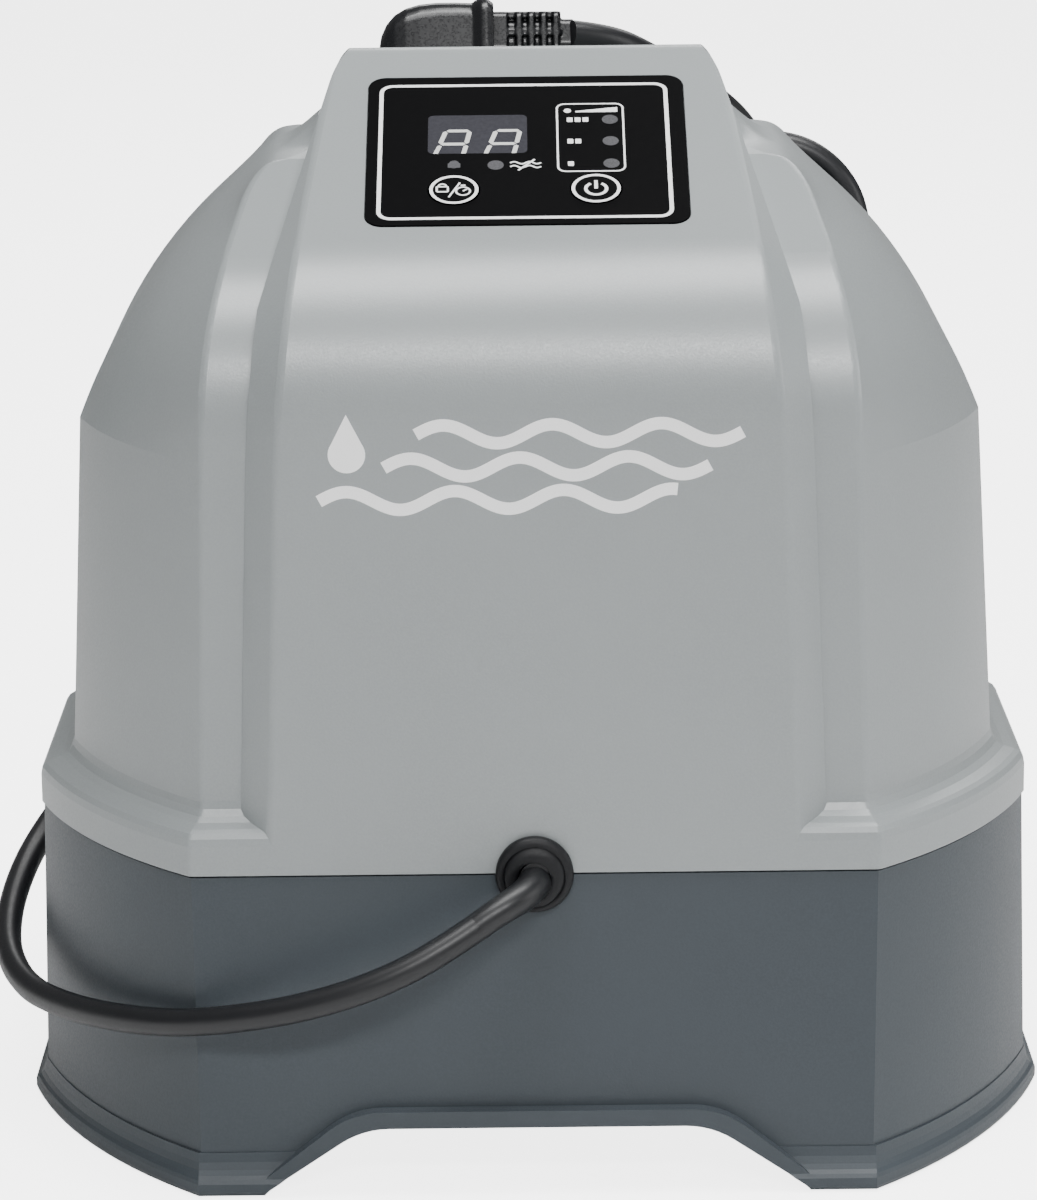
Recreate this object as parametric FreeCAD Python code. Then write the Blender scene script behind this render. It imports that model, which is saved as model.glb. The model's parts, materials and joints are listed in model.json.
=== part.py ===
import FreeCAD, Part
import math
import os

V = FreeCAD.Vector

# Salt chlorine generator: domed two-part case, control panel on the front slope, hose ports at the back.
# Millimetres. +X is the object's right seen from the front, +Y runs to its back, +Z is up.
# Depths are measured back from the front face and turned into Y by d().

# ---- driving dimensions ----
CASE_DEPTH = 210.0          # front face to rear face of the case
LIP_FLARE = 6.0             # how far the bottom lip stands in front of the front face
PORT_REACH = 44.0           # hose spigot ends behind the rear face
FRONT_HALF = 86.0           # half width of the flat front face
SIDE_HALF = 129.4           # half width of the case at the seam
CORNER_DEPTH = 70.0         # depth at which the bowed chamfer meets the flat side
CHAMFER_BOW = 0.067         # how far the chamfers bow outwards, as a share of their length
BOW_FADE = 22.0             # narrower chamfers bow less
SEAM_Z = 83.0               # parting line between base and cover
BASE_BOTTOM = 0.6           # lower edge of the base wall, above the rubber feet
WALL = 3.0
BAND_PROUD = 0.6            # the cover's band stands this far outside the base
BAND_TOP = 93.6             # top of the cover's vertical band
LEDGE_Z = 98.2              # where the ledge meets the dome wall
LEDGE_INSET = 8.6           # ledge width
# Ledge profile: share of the way from the band's face to the dome wall, and height.
LEDGE_PROFILE = [(0.0, SEAM_Z + 0.4), (0.0, 91.0), (0.04, 92.9), (0.14, 94.2), (0.3, 94.9), (0.62, 95.9),
                 (0.84, 97.0), (0.95, 98.7), (1.06, 103.0)]
DOME_SET_BACK = 8.0         # dome front lies this far behind the hood front
DOME_FOOT_Z = 85.0
DOME_CREASE_HALF = 83.7     # half width of the dome's front facet at its foot
DOME_SIDE_HALF = 121.6      # half width of the dome at its foot
DOME_DRAFT = 0.049          # the side walls lean in by this much per millimetre
DOME_SHOULDER_Z = 187.0     # the walls turn on to the shoulder's arc here
SHOULDER_R = 146.0
SHOULDER_CENTRE = (-20.0, 135.4)
CREASE_LEAN = 0.0245        # the front facet narrows by this much per millimetre, up to CREASE_BEND_Z
CREASE_BEND_Z = 195.0
CREASE_CURL = 0.0035        # and by this much per square millimetre above it
CORNER_SWEEP = 30.0         # the chamfers' rear corners run this far back over the shoulder
CORNER_SWEEP_Z = (200.0, 250.0)
DOME_REACH = 4.0            # how far the chamfers carry on past the front facet before it is cut
DOME_TOP_Z = 261.0          # the dome ends inside the hood
DOME_UPPER_STEPS = 9
SLOPE = 26.4                # slope of the panel face, degrees from level
FRONT_ROUND = 45.0          # radius between the upright front and the slope
RIDGE_ROUND = 9.0
HOOD_EDGE_Z = 226.6         # where the upright hood front and the slope would meet
HOOD_DROP = 8.9             # the dome's slope lies this far below the hood's
HOOD_FOOT_HALF = 74.0
HOOD_WAIST = (70.2, 186.0)
HOOD_SHOULDER = (65.8, 232.0)
HOOD_TOP = (55.2, 276.0)
HOOD_FLANK = 7.5            # the hood's long edges are cut back by this much each way
HOOD_EDGE_ROUND = 3.0
HEAD_TOP = (48.6, 277.0)    # half width and height where the hood's leaning head meets the ridge
HEAD_LEAN = 0.30            # the head narrows by this much per millimetre of height
HEAD_TAPER = 0.027          # and by this much per millimetre of depth
HEAD_LID_Z = 281.0
HEAD_ROUND = 14.0
CREASE_ROUND = 2.5
BAND_CORNER_ROUND = 2.0

ARCH_FOOT_HALF = 70.0       # the arch under the front and rear walls
ARCH_FLAT_HALF = 44.0
ARCH_HEIGHT = 18.0
LIP_HEIGHT = 4.4
# Lip profile: how far it stands out of the base's wall, and height.
LIP_PROFILE = [(3.2, BASE_BOTTOM), (3.8, 1.6), (3.8, 3.8), (3.3, 4.8), (2.2, 5.6), (1.2, 6.8), (0.5, 8.6),
               (0.05, 11.0)]

PANEL_DEPTH = 60.4          # depth of the panel's centre
PANEL_W, PANEL_H = 81.2, 66.0
PANEL_ROUND = 4.5
PANEL_PROUD = 0.4
PANEL_SEAT = 1.2
WINDOW = (-12.45, 6.85, 25.3, 17.4)
DISPLAY_SCREWS = [(-34.8, -25.5), (34.8, -25.5), (-34.8, 25.5), (34.8, 25.5)]
BUTTON_R = 6.3
BUTTON_GAP = 0.35
TIMER_BUTTON = (-18.4, -18.0)
POWER_BUTTON = (17.3, -18.0)
LEDS = [(-18.4, -6.9), (-7.9, -7.1), (21.4, 12.8), (21.4, 3.1), (21.4, -6.9)]
LED_R = 1.5
BOARD_N = -12.0             # display board's top face below the panel face

GROMMET_Z = 83.4
GROMMET_R = 9.7
GROMMET_NECK_R = 7.4

PORT_X = (-70.0, 0.0)
PORT_Z = 51.0
PIPE_R, PIPE_BORE = 20.0, 15.5
NUT_R = 28.0
SPIGOT_R, SPIGOT_BORE = 16.0, 13.0
RUNNING_GAP = 0.35
CELL_R, CELL_BORE = 28.0, 24.5
CELL_DEPTH = 118.0
CELL_ENDS = (-100.0, 40.0)
PIPE_END = 223.0            # depth at which the cell's pipes end, behind the rear wall
SENSOR_DEPTH = 176.0
PADDLE_PIN_Z = PORT_Z + 16.5
PADDLE_PIN_R = 1.2
NECK_TOP = 79.0             # top of the sensor's neck on the inlet pipe
TERMINAL_Z = (PORT_Z - 12.0, PORT_Z + 12.0)
CELL_SADDLES = (-95.0, -30.0)
BOND_X, BOND_Z = -35.0, 30.0

FLOOR_PLATE_Z = 19.5
FLOOR_PLATE_T = 2.5
FOOT_POINTS = [(-98.0, 52.0), (98.0, 52.0), (-98.0, 158.0), (98.0, 158.0)]
POST_POINTS = [(-115.0, 75.0), (115.0, 75.0), (-115.0, 135.0), (115.0, 135.0)]
BOARD_POSTS = [(38.0, 26.0), (100.0, 44.0), (38.0, 84.0), (100.0, 84.0)]
TRANSFORMER_POSTS = [(72.0, 107.5), (96.0, 107.5), (72.0, 172.5), (96.0, 172.5)]
PLATE_SCREWS = [(-60.0, 12.0), (60.0, 12.0), (-118.0, 105.0), (118.0, 105.0), (-34.0, 199.0), (60.0, 199.0)]

CORD_D = 7.2
SLEEVE_DROP = 2.2           # the sleeve leaves the grommet below its middle
SLEEVE_ROOT_R = 4.6
SLEEVE_END = (-12.2, -13.8, 75.4)
# The cord's route, as (x, depth, z): from the sleeve round the left side and over the port nuts.
FRONT_ROUTE = [
    SLEEVE_END, (-24.0, -19.0, 68.4), (-40.5, -21.2, 60.8), (-58.0, -18.8, 54.8),
    (-75.0, -13.2, 50.2), (-92.0, -3.5, 46.0), (-108.0, 10.5, 43.2), (-122.0, 28.5, 40.4),
    (-133.8, 49.0, 38.8), (-141.0, 71.0, 41.4), (-142.6, 94.0, 45.6), (-141.2, 117.0, 50.2),
    (-138.0, 139.0, 53.8), (-131.4, 160.5, 59.8), (-120.0, 181.0, 68.4), (-106.0, 200.0, 77.2),
    (-89.5, 218.0, 82.8), (-70.0, 227.6, 83.8), (-46.0, 230.6, 83.2), (-22.0, 231.8, 83.2),
    (1.0, 234.6, 83.4), (22.0, 240.4, 82.8), (40.5, 246.6, 87.0), (51.0, 249.2, 99.0),
]
# From the hank's left leg over the rear shoulder to the plug.
PLUG_ROUTE = [
    (54.5, 221.8, 160.0), (56.3, 221.2, 177.0), (61.0, 218.2, 194.0), (66.4, 212.6, 209.8),
    (68.2, 203.4, 225.2), (65.6, 192.0, 237.6), (60.4, 180.2, 247.2), (52.4, 168.0, 255.6),
    (43.4, 155.0, 263.0), (33.5, 143.5, 270.4), (23.0, 133.8, 276.4), (12.5, 130.0, 278.0),
]
PLUG_DEPTH = 130.0
PLUG_MID_X = -22.5
HANK_X = 72.0
HANK_TOP = 241.0
HANK_HALF = 31.6
HANK_WAIST_HALF = 17.0
HANK_WAIST_Z = 122.0
HANK_FRONT = 218.2
HANK_TURNS = 5

FRAME_DEPTH = (CASE_DEPTH + PORT_REACH - LIP_FLARE) / 2.0
ROUND_BACK = FRONT_ROUND * math.tan(math.radians((90.0 - SLOPE) / 2.0))
TAN_SLOPE = math.tan(math.radians(SLOPE))
COS_SLOPE = math.cos(math.radians(SLOPE))
DOME_EDGE_Z = HOOD_EDGE_Z - HOOD_DROP + DOME_SET_BACK * TAN_SLOPE
PANEL_Z = HOOD_EDGE_Z + PANEL_DEPTH * TAN_SLOPE
PARTS = {}


def d(depth):
    """Depth behind the front face, as a Y coordinate."""
    return depth - FRAME_DEPTH


def at(x, depth, z):
    return V(x, d(depth), z)


def keep(name, shape):
    PARTS[name] = shape


def box(x0, x1, depth0, depth1, z0, z1):
    return Part.makeBox(x1 - x0, depth1 - depth0, z1 - z0, at(x0, depth0, z0))


def rod(start, end, radius):
    line = end - start
    return Part.makeCylinder(radius, line.Length, start, line)


def tube(start, end, radius, bore):
    return rod(start, end, radius).cut(rod(start, end, bore))


def fuse(shapes):
    whole = shapes[0]
    for shape in shapes[1:]:
        whole = whole.fuse(shape)
    return whole.removeSplitter()


def rounded_path(points, radii, closed=False):
    """Straight runs joined by tangent arcs, one radius a corner (0 keeps it sharp)."""
    count = len(points)
    corners = range(count) if closed else range(1, count - 1)
    cuts = {i: (points[i], points[i]) for i in range(count)}
    arcs = {}
    for i in corners:
        before = (points[i - 1] - points[i]).normalize()
        after = (points[(i + 1) % count] - points[i]).normalize()
        half_turn = (math.pi - before.getAngle(after)) / 2.0
        if radii[i] <= 0 or half_turn < 1e-4:
            continue
        back = radii[i] * math.tan(half_turn)
        inner = (before + after).normalize()
        middle = points[i] + inner * (radii[i] / math.cos(half_turn) - radii[i])
        cuts[i] = (points[i] + before * back, points[i] + after * back)
        arcs[i] = middle
    edges = []
    for i in range(count if closed else count - 1):
        start = cuts[i][1]
        end = cuts[(i + 1) % count][0]
        if (end - start).Length > 1e-6:
            edges.append(Part.LineSegment(start, end).toShape())
        nxt = (i + 1) % count
        if nxt in arcs:
            edges.append(Part.Arc(cuts[nxt][0], arcs[nxt], cuts[nxt][1]).toShape())
    return Part.Wire(edges)


def slab(points, radii, direction):
    """A closed outline with rounded corners, pushed along a direction."""
    return Part.Face(rounded_path(points, radii, closed=True)).extrude(direction)


def on_panel(shape, u=0.0, v=0.0, n=0.0):
    """Place a shape made in panel terms: x across, y up the slope, z out of the panel."""
    placed = shape.copy()
    placed.translate(V(u, v, n))
    placed.rotate(V(0, 0, 0), V(1, 0, 0), SLOPE)
    placed.translate(at(0, PANEL_DEPTH, PANEL_Z))
    return placed


def panel_block(w, h, corner, n0, n1):
    points = [V(-w / 2, -h / 2, n0), V(w / 2, -h / 2, n0), V(w / 2, h / 2, n0), V(-w / 2, h / 2, n0)]
    return slab(points, [corner] * 4, V(0, 0, n1 - n0))


def panel_disc(radius, n0, n1):
    return Part.makeCylinder(radius, n1 - n0, V(0, 0, n0))


# ---- case ----
def outline(front_half, front, side_half, corner, z, reach=0.0):
    """Plan outline: flat front, bowed chamfers, flat sides and the same again at the rear.

    The chamfers meet the flat front at front_half; reach carries them on past it.
    """
    across, along = side_half - front_half, corner - front
    length = math.hypot(across, along)
    bow = CHAMFER_BOW * min(1.0, across / BOW_FADE)
    mid = ((front_half + side_half) / 2.0 + bow * length * along / length,
           (front + corner) / 2.0 - bow * length * across / length)
    lean = 4.0 * bow
    start = (front_half - reach * (across + lean * along) / length,
             front - reach * (along - lean * across) / length)
    corner_point = (side_half, corner)
    edges = []

    def place(point, sign, behind):
        return at(sign * point[0], CASE_DEPTH - point[1] if behind else point[1], z)

    def line(a, b):
        edges.append(Part.LineSegment(a, b).toShape())

    def bowed(a, b, sign, behind):
        edges.append(Part.Arc(place(a, sign, behind), place(mid, sign, behind), place(b, sign, behind)).toShape())

    line(place(start, -1, False), place(start, 1, False))
    bowed(start, corner_point, 1, False)
    line(place(corner_point, 1, False), place(corner_point, 1, True))
    bowed(corner_point, start, 1, True)
    line(place(start, 1, True), place(start, -1, True))
    bowed(start, corner_point, -1, True)
    line(place(corner_point, -1, True), place(corner_point, -1, False))
    bowed(corner_point, start, -1, False)
    return Part.Wire(edges)


def case_ring(inset, z, half=FRONT_HALF, side=SIDE_HALF, front=0.6, corner=CORNER_DEPTH):
    return outline(half - 0.62 * inset, front + inset, side - inset, corner + 0.12 * inset, z)


def loft(rings, ruled=True):
    return Part.makeLoft(rings, True, ruled)


def base_block(inset):
    low = case_ring(inset, BASE_BOTTOM, FRONT_HALF - 1.0, SIDE_HALF + 2.0, -2.2, CORNER_DEPTH + 3.0)
    high = case_ring(inset, SEAM_Z - 0.2)
    return loft([low, high])


def arch_cutter(grow, depth0, depth1):
    points = [
        at(-ARCH_FOOT_HALF - grow, depth0, -10.0), at(-ARCH_FOOT_HALF - grow, depth0, BASE_BOTTOM),
        at(-ARCH_FLAT_HALF - 0.6 * grow, depth0, ARCH_HEIGHT + grow),
        at(ARCH_FLAT_HALF + 0.6 * grow, depth0, ARCH_HEIGHT + grow),
        at(ARCH_FOOT_HALF + grow, depth0, BASE_BOTTOM), at(ARCH_FOOT_HALF + grow, depth0, -10.0),
    ]
    return slab(points, [0, 6, 22, 22, 6, 0], V(0, depth1 - depth0, 0))


def base_lip():
    """The lip round the foot of the base, flared out of the wall and following the arch."""
    rings = []
    for proud, z in LIP_PROFILE:
        rings.append(case_ring(0, z, FRONT_HALF - 0.2, SIDE_HALF + 2.0 + 0.95 * proud, -2.2 - proud,
                               CORNER_DEPTH + 3.0 + proud))
    lip = loft(rings)
    above_floor = box(-200, 200, -50, 300, BASE_BOTTOM, 60)
    for depth0, depth1 in ((-5.4, 4.0), (CASE_DEPTH - 4.0, CASE_DEPTH + 5.4)):
        lip = lip.fuse(arch_cutter(LIP_HEIGHT, depth0, depth1).common(above_floor))
    return lip


def make_base_housing():
    body = base_block(0).fuse(base_lip())
    inner = loft([
        case_ring(WALL, -5.0, FRONT_HALF - 1.0, SIDE_HALF + 2.1, -2.3, CORNER_DEPTH + 3.0),
        case_ring(WALL, SEAM_Z + 1.0),
    ])
    body = body.cut(inner)
    body = body.cut(arch_cutter(0.0, -20.0, 300.0))
    for x, depth in POST_POINTS:
        post = rod(at(x, depth, FLOOR_PLATE_Z + FLOOR_PLATE_T), at(x, depth, SEAM_Z - 0.2), 6.0)
        toward = 1 if x > 0 else -1
        web = box(min(x, x + toward * 14), max(x, x + toward * 14), depth - 1.2, depth + 1.2,
                  FLOOR_PLATE_Z + FLOOR_PLATE_T, SEAM_Z - 4.0).common(base_block(1.0))
        body = body.fuse(post).fuse(web)
        body = body.cut(rod(at(x, depth, 0), at(x, depth, SEAM_Z + 2), 2.2))
    for x, depth in PLATE_SCREWS:
        boss = rod(at(x, depth, FLOOR_PLATE_Z + FLOOR_PLATE_T), at(x, depth, 40.0), 4.5)
        away = V(0, -1, 0) if depth < 60 else V(0, 1, 0) if depth > 150 else V(1 if x > 0 else -1, 0, 0)
        rib = rod(at(x, depth, 31.0), at(x, depth, 31.0) + away * 10.0, 4.0).common(base_block(1.0))
        body = body.fuse(boss.common(base_block(1.0))).fuse(rib)
        body = body.cut(rod(at(x, depth, 15.0), at(x, depth, 36.0), 1.6))
    for x in PORT_X:
        body = body.cut(rod(at(x, CASE_DEPTH - 20, PORT_Z), at(x, CASE_DEPTH + 20, PORT_Z), PIPE_R + 0.4))
    body = body.cut(rod(at(0, -20, GROMMET_Z), at(0, 20, GROMMET_Z), GROMMET_NECK_R))
    bond = at(BOND_X, CASE_DEPTH - 20, BOND_Z)
    body = body.cut(rod(bond, bond + V(0, 40, 0), 3.0))
    return body.removeSplitter()


def front_depth(z, front, edge_z):
    """Depth of a front at a height: upright, then rounded on to the slope."""
    above = z - (edge_z - ROUND_BACK)
    if above <= 0.0:
        return front
    if above < FRONT_ROUND * COS_SLOPE:
        return front + FRONT_ROUND - math.sqrt(FRONT_ROUND ** 2 - above ** 2)
    return front + (z - edge_z) / TAN_SLOPE


def on_profile(edge, half_low, half_high, front, edge_z):
    """True for a long edge that runs up the front or rear profile between two half widths."""
    middle = edge.valueAt((edge.FirstParameter + edge.LastParameter) / 2.0)
    back = middle.y + FRAME_DEPTH
    off = min(back, CASE_DEPTH - back) - front_depth(middle.z, front, edge_z)
    rising = edge.BoundBox.ZLength > 2.0 and abs(off) < 0.8
    return half_low < abs(middle.x) < half_high and (rising or middle.z > HOOD_TOP[1])


def dome_side(z):
    if z <= DOME_SHOULDER_Z:
        return DOME_SIDE_HALF - DOME_DRAFT * (z - DOME_FOOT_Z)
    x, centre_z = SHOULDER_CENTRE
    return x + math.sqrt(SHOULDER_R ** 2 - (z - centre_z) ** 2)


def dome_crease(z):
    """Half width of the dome's front facet at a height."""
    rise = max(0.0, z - CREASE_BEND_Z)
    lean = CREASE_LEAN * (min(z, CREASE_BEND_Z) - DOME_FOOT_Z)
    return min(DOME_CREASE_HALF - lean - CREASE_CURL * rise ** 2, dome_side(z) - 1.5)


def dome_ring(z, inset):
    """The dome's plan outline at one height."""
    low, high = CORNER_SWEEP_Z
    swept = min(1.0, max(0.0, z - low) / (high - low)) ** 1.5
    front = front_depth(z, DOME_SET_BACK, DOME_EDGE_Z) + inset
    return outline(dome_crease(z) - inset, front, dome_side(z) - inset, CORNER_DEPTH + CORNER_SWEEP * swept,
                   z, DOME_REACH)


def profile_block(front, edge_z, inset, half_width):
    """Side profile of a case part: upright front, rounded on to the slope, ridge, and the same behind."""
    top_z = edge_z + (CASE_DEPTH / 2.0 - front) * TAN_SLOPE
    lower = inset / COS_SLOPE
    front = front + inset
    front_edge = edge_z - lower + inset * TAN_SLOPE
    points = [
        at(-half_width, front, SEAM_Z), at(-half_width, front, front_edge),
        at(-half_width, CASE_DEPTH / 2.0, top_z - lower),
        at(-half_width, CASE_DEPTH - front, front_edge), at(-half_width, CASE_DEPTH - front, SEAM_Z),
    ]
    rounds = [0, FRONT_ROUND - inset, RIDGE_ROUND, FRONT_ROUND - inset, 0]
    return slab(points, rounds, V(2 * half_width, 0, 0))


def dome_block(inset):
    lower = loft([dome_ring(DOME_FOOT_Z, inset), dome_ring(DOME_SHOULDER_Z, inset)])
    step = (DOME_TOP_Z - DOME_SHOULDER_Z) / DOME_UPPER_STEPS
    rings = [dome_ring(DOME_SHOULDER_Z + step * i, inset) for i in range(DOME_UPPER_STEPS + 1)]
    whole = lower.fuse(loft(rings, False))
    whole = whole.common(profile_block(DOME_SET_BACK, DOME_EDGE_Z, inset, 150.0)).removeSplitter()
    if inset:
        return whole
    creases = [edge for edge in whole.Edges if on_profile(edge, 45.0, 90.0, DOME_SET_BACK, DOME_EDGE_Z)]
    return whole.makeFillet(CREASE_ROUND, creases)


def hood_block(inset, flank):
    """The hood: its profile between two leaning sides, with the long edges cut back by flank."""
    def side(sign):
        foot = at(sign * (HOOD_FOOT_HALF - inset), 0, SEAM_Z + 0.4)
        waist = at(sign * (HOOD_WAIST[0] - inset), 0, HOOD_WAIST[1])
        shoulder = at(sign * (HOOD_SHOULDER[0] - inset), 0, HOOD_SHOULDER[1])
        top = at(sign * (HOOD_TOP[0] - inset), 0, HOOD_TOP[1] + 8.0)
        return foot, waist, shoulder, top
    rf, rw, rs, rt = side(1)
    lf, lw, ls, lt = side(-1)
    edges = [
        Part.LineSegment(lf, rf).toShape(), Part.LineSegment(rf, rw).toShape(),
        Part.Arc(rw, rs, rt).toShape(), Part.LineSegment(rt, lt).toShape(),
        Part.Arc(lt, ls, lw).toShape(), Part.LineSegment(lw, lf).toShape(),
    ]
    block = Part.Face(Part.Wire(edges)).extrude(V(0, CASE_DEPTH, 0))
    block = block.common(profile_block(0.0, HOOD_EDGE_Z, inset, 100.0))
    block = block.makeChamfer(flank, hood_side_edges(block))
    if inset:
        return block.common(head_block(inset))
    fronts = [edge for edge in block.Edges if on_profile(edge, 45.0, 67.0, 0.0, HOOD_EDGE_Z)]
    return block.makeFillet(HOOD_EDGE_ROUND, fronts).common(head_block(inset))


def head_block(inset):
    """Bounds of the hood's head: sides that lean in to the top and taper to the rear, with round shoulders."""
    start, reach, floor = -10.0, CASE_DEPTH + 20.0, 60.0
    lid = HEAD_LID_Z - inset
    spread = HEAD_TOP[0] - inset + HEAD_TAPER * (CASE_DEPTH / 2.0 - start)

    def side(sign):
        low = spread + HEAD_LEAN * (HEAD_TOP[1] - floor)
        high = spread + HEAD_LEAN * (HEAD_TOP[1] - lid)
        points = [
            at(-sign * 150.0, start, floor), at(sign * low, start, floor),
            at(sign * high, start, lid), at(-sign * 150.0, start, lid),
        ]
        return slab(points, [0, 0, HEAD_ROUND - inset, 0], V(-sign * HEAD_TAPER * reach, reach, 0))
    return side(1).common(side(-1))


def hood_side_edges(shape):
    """The long edges where the hood's flanks meet its front, top and rear."""
    found = []
    for edge in shape.Edges:
        low, high = edge.BoundBox.ZMin, edge.BoundBox.ZMax
        spread = edge.BoundBox.XLength
        if high - low < 0.5 and edge.BoundBox.YLength < 0.5:
            continue
        if low < SEAM_Z + 1.0 and high < SEAM_Z + 1.0:
            continue
        if spread < 30.0 and abs(edge.BoundBox.Center.x) > 30.0:
            found.append(edge)
    return found


def band_block():
    """The band above the seam and the ledge that runs from it to the dome wall."""
    rings = []
    for share, z in LEDGE_PROFILE:
        def part_way(band, dome):
            return band + (dome - band) * share
        rings.append(outline(part_way(FRONT_HALF + 0.4, dome_crease(z)), part_way(0.0, DOME_SET_BACK),
                             part_way(SIDE_HALF + BAND_PROUD, dome_side(z)), CORNER_DEPTH, z))
    band = loft(rings)
    corners = [edge for edge in band.Edges if edge.BoundBox.ZLength > 1.0
               and abs(abs(edge.BoundBox.Center.x) - FRONT_HALF) < 5.0]
    return band.makeFillet(BAND_CORNER_ROUND, corners)


def make_top_cover():
    hood = hood_block(0, HOOD_FLANK)
    outer = fuse([dome_block(0), band_block(), hood])
    inner = fuse([dome_block(WALL), hood_block(WALL, HOOD_FLANK - 1.7), loft([
        case_ring(WALL - BAND_PROUD, SEAM_Z - 1.0), case_ring(WALL - BAND_PROUD, BAND_TOP - 2.6),
        case_ring(LEDGE_INSET + 2.6, LEDGE_Z - 4.6),
    ])])
    cover = outer.cut(inner)
    for x, depth in POST_POINTS:
        boss = rod(at(x, depth, DOME_FOOT_Z), at(x, depth, 116.0), 6.0).common(dome_block(1.0))
        cover = cover.fuse(boss).fuse(rod(at(x, depth, SEAM_Z + 0.4), at(x, depth, DOME_FOOT_Z), 6.0))
        cover = cover.cut(rod(at(x, depth, SEAM_Z - 1), at(x, depth, 110.0), 1.7))
    seat = panel_block(PANEL_W + 0.4, PANEL_H + 0.4, PANEL_ROUND + 0.2, -PANEL_SEAT, 10.0)
    opening = panel_block(62.0, 50.0, 3.0, -12.0, 1.0)
    cover = cover.cut(on_panel(seat)).cut(on_panel(opening))
    cover = cover.cut(rod(at(0, -20, GROMMET_Z), at(0, 20, GROMMET_Z), GROMMET_NECK_R))
    return cover.removeSplitter()


def make_seam_gasket():
    outer = loft([case_ring(0.5, SEAM_Z - 0.2), case_ring(0.5, SEAM_Z + 0.4)])
    inner = loft([case_ring(WALL - 0.8, SEAM_Z - 1.0), case_ring(WALL - 0.8, SEAM_Z + 1.0)])
    ring = outer.cut(inner)
    return ring.cut(rod(at(0, -20, GROMMET_Z), at(0, 20, GROMMET_Z), GROMMET_NECK_R))


def make_floor_plate():
    top = FLOOR_PLATE_Z + FLOOR_PLATE_T
    plate = loft([
        case_ring(WALL + 0.3, FLOOR_PLATE_Z, FRONT_HALF - 1.0, SIDE_HALF + 1.5, -1.7, CORNER_DEPTH + 2.4),
        case_ring(WALL + 0.3, top, FRONT_HALF - 1.0, SIDE_HALF + 1.5, -1.7, CORNER_DEPTH + 2.4),
    ])
    for x, depth in FOOT_POINTS:
        plate = plate.fuse(rod(at(x, depth, 3.0), at(x, depth, FLOOR_PLATE_Z), 11.0))
        plate = plate.cut(rod(at(x, depth, 0), at(x, depth, 8.0), 3.0))
    for x, depth in BOARD_POSTS + TRANSFORMER_POSTS:
        plate = plate.fuse(rod(at(x, depth, top), at(x, depth, top + 6.0), 3.5))
        plate = plate.cut(rod(at(x, depth, top - 1.0), at(x, depth, top + 8.0), 1.2))
    for x, depth in PLATE_SCREWS:
        plate = plate.cut(rod(at(x, depth, 0), at(x, depth, 40.0), 2.0))
    for x, depth in POST_POINTS:
        plate = plate.cut(rod(at(x, depth, 0), at(x, depth, 40.0), 2.4))
    for x in CELL_SADDLES:
        cradle = box(x - 4, x + 4, CELL_DEPTH - 22, CELL_DEPTH + 22, top, 36.0)
        bed = rod(at(x - 6, CELL_DEPTH, PORT_Z), at(x + 6, CELL_DEPTH, PORT_Z), CELL_R)
        plate = plate.fuse(cradle.cut(bed))
    return plate.removeSplitter()


def screws(points, z_head, length, head_r, shank_r, head_h=2.6):
    """Screws driven upwards from below, heads under z_head."""
    group = []
    for x, depth in points:
        head = rod(at(x, depth, z_head - head_h), at(x, depth, z_head), head_r)
        slot = box(x - head_r + 0.8, x + head_r - 0.8, depth - 0.5, depth + 0.5, z_head - head_h, z_head - head_h + 1)
        shank = rod(at(x, depth, z_head), at(x, depth, z_head + length), shank_r)
        group.append(head.cut(slot).fuse(shank))
    return Part.makeCompound(group)


def make_case():
    keep("top_cover", make_top_cover())
    keep("base_housing", make_base_housing())
    keep("seam_gasket", make_seam_gasket())
    keep("floor_plate", make_floor_plate())
    keep("case_screws", screws(POST_POINTS, FLOOR_PLATE_Z, 84.0, 4.2, 1.7))
    keep("floor_plate_screws", screws(PLATE_SCREWS, FLOOR_PLATE_Z, 14.0, 3.4, 1.5))
    pads = []
    for x, depth in FOOT_POINTS:
        pad = rod(at(x, depth, 0), at(x, depth, 3.0), 10.5)
        pads.append(pad.makeFillet(0.8, [pad.Edges[2]]).fuse(rod(at(x, depth, 3.0), at(x, depth, 8.0), 3.0)))
    keep("rubber_feet", Part.makeCompound(pads))
    plate = Part.makeBox(46.0, 0.8, 16.0, at(-23.0, CASE_DEPTH, 116.0))
    keep("rating_plate", plate)


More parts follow.
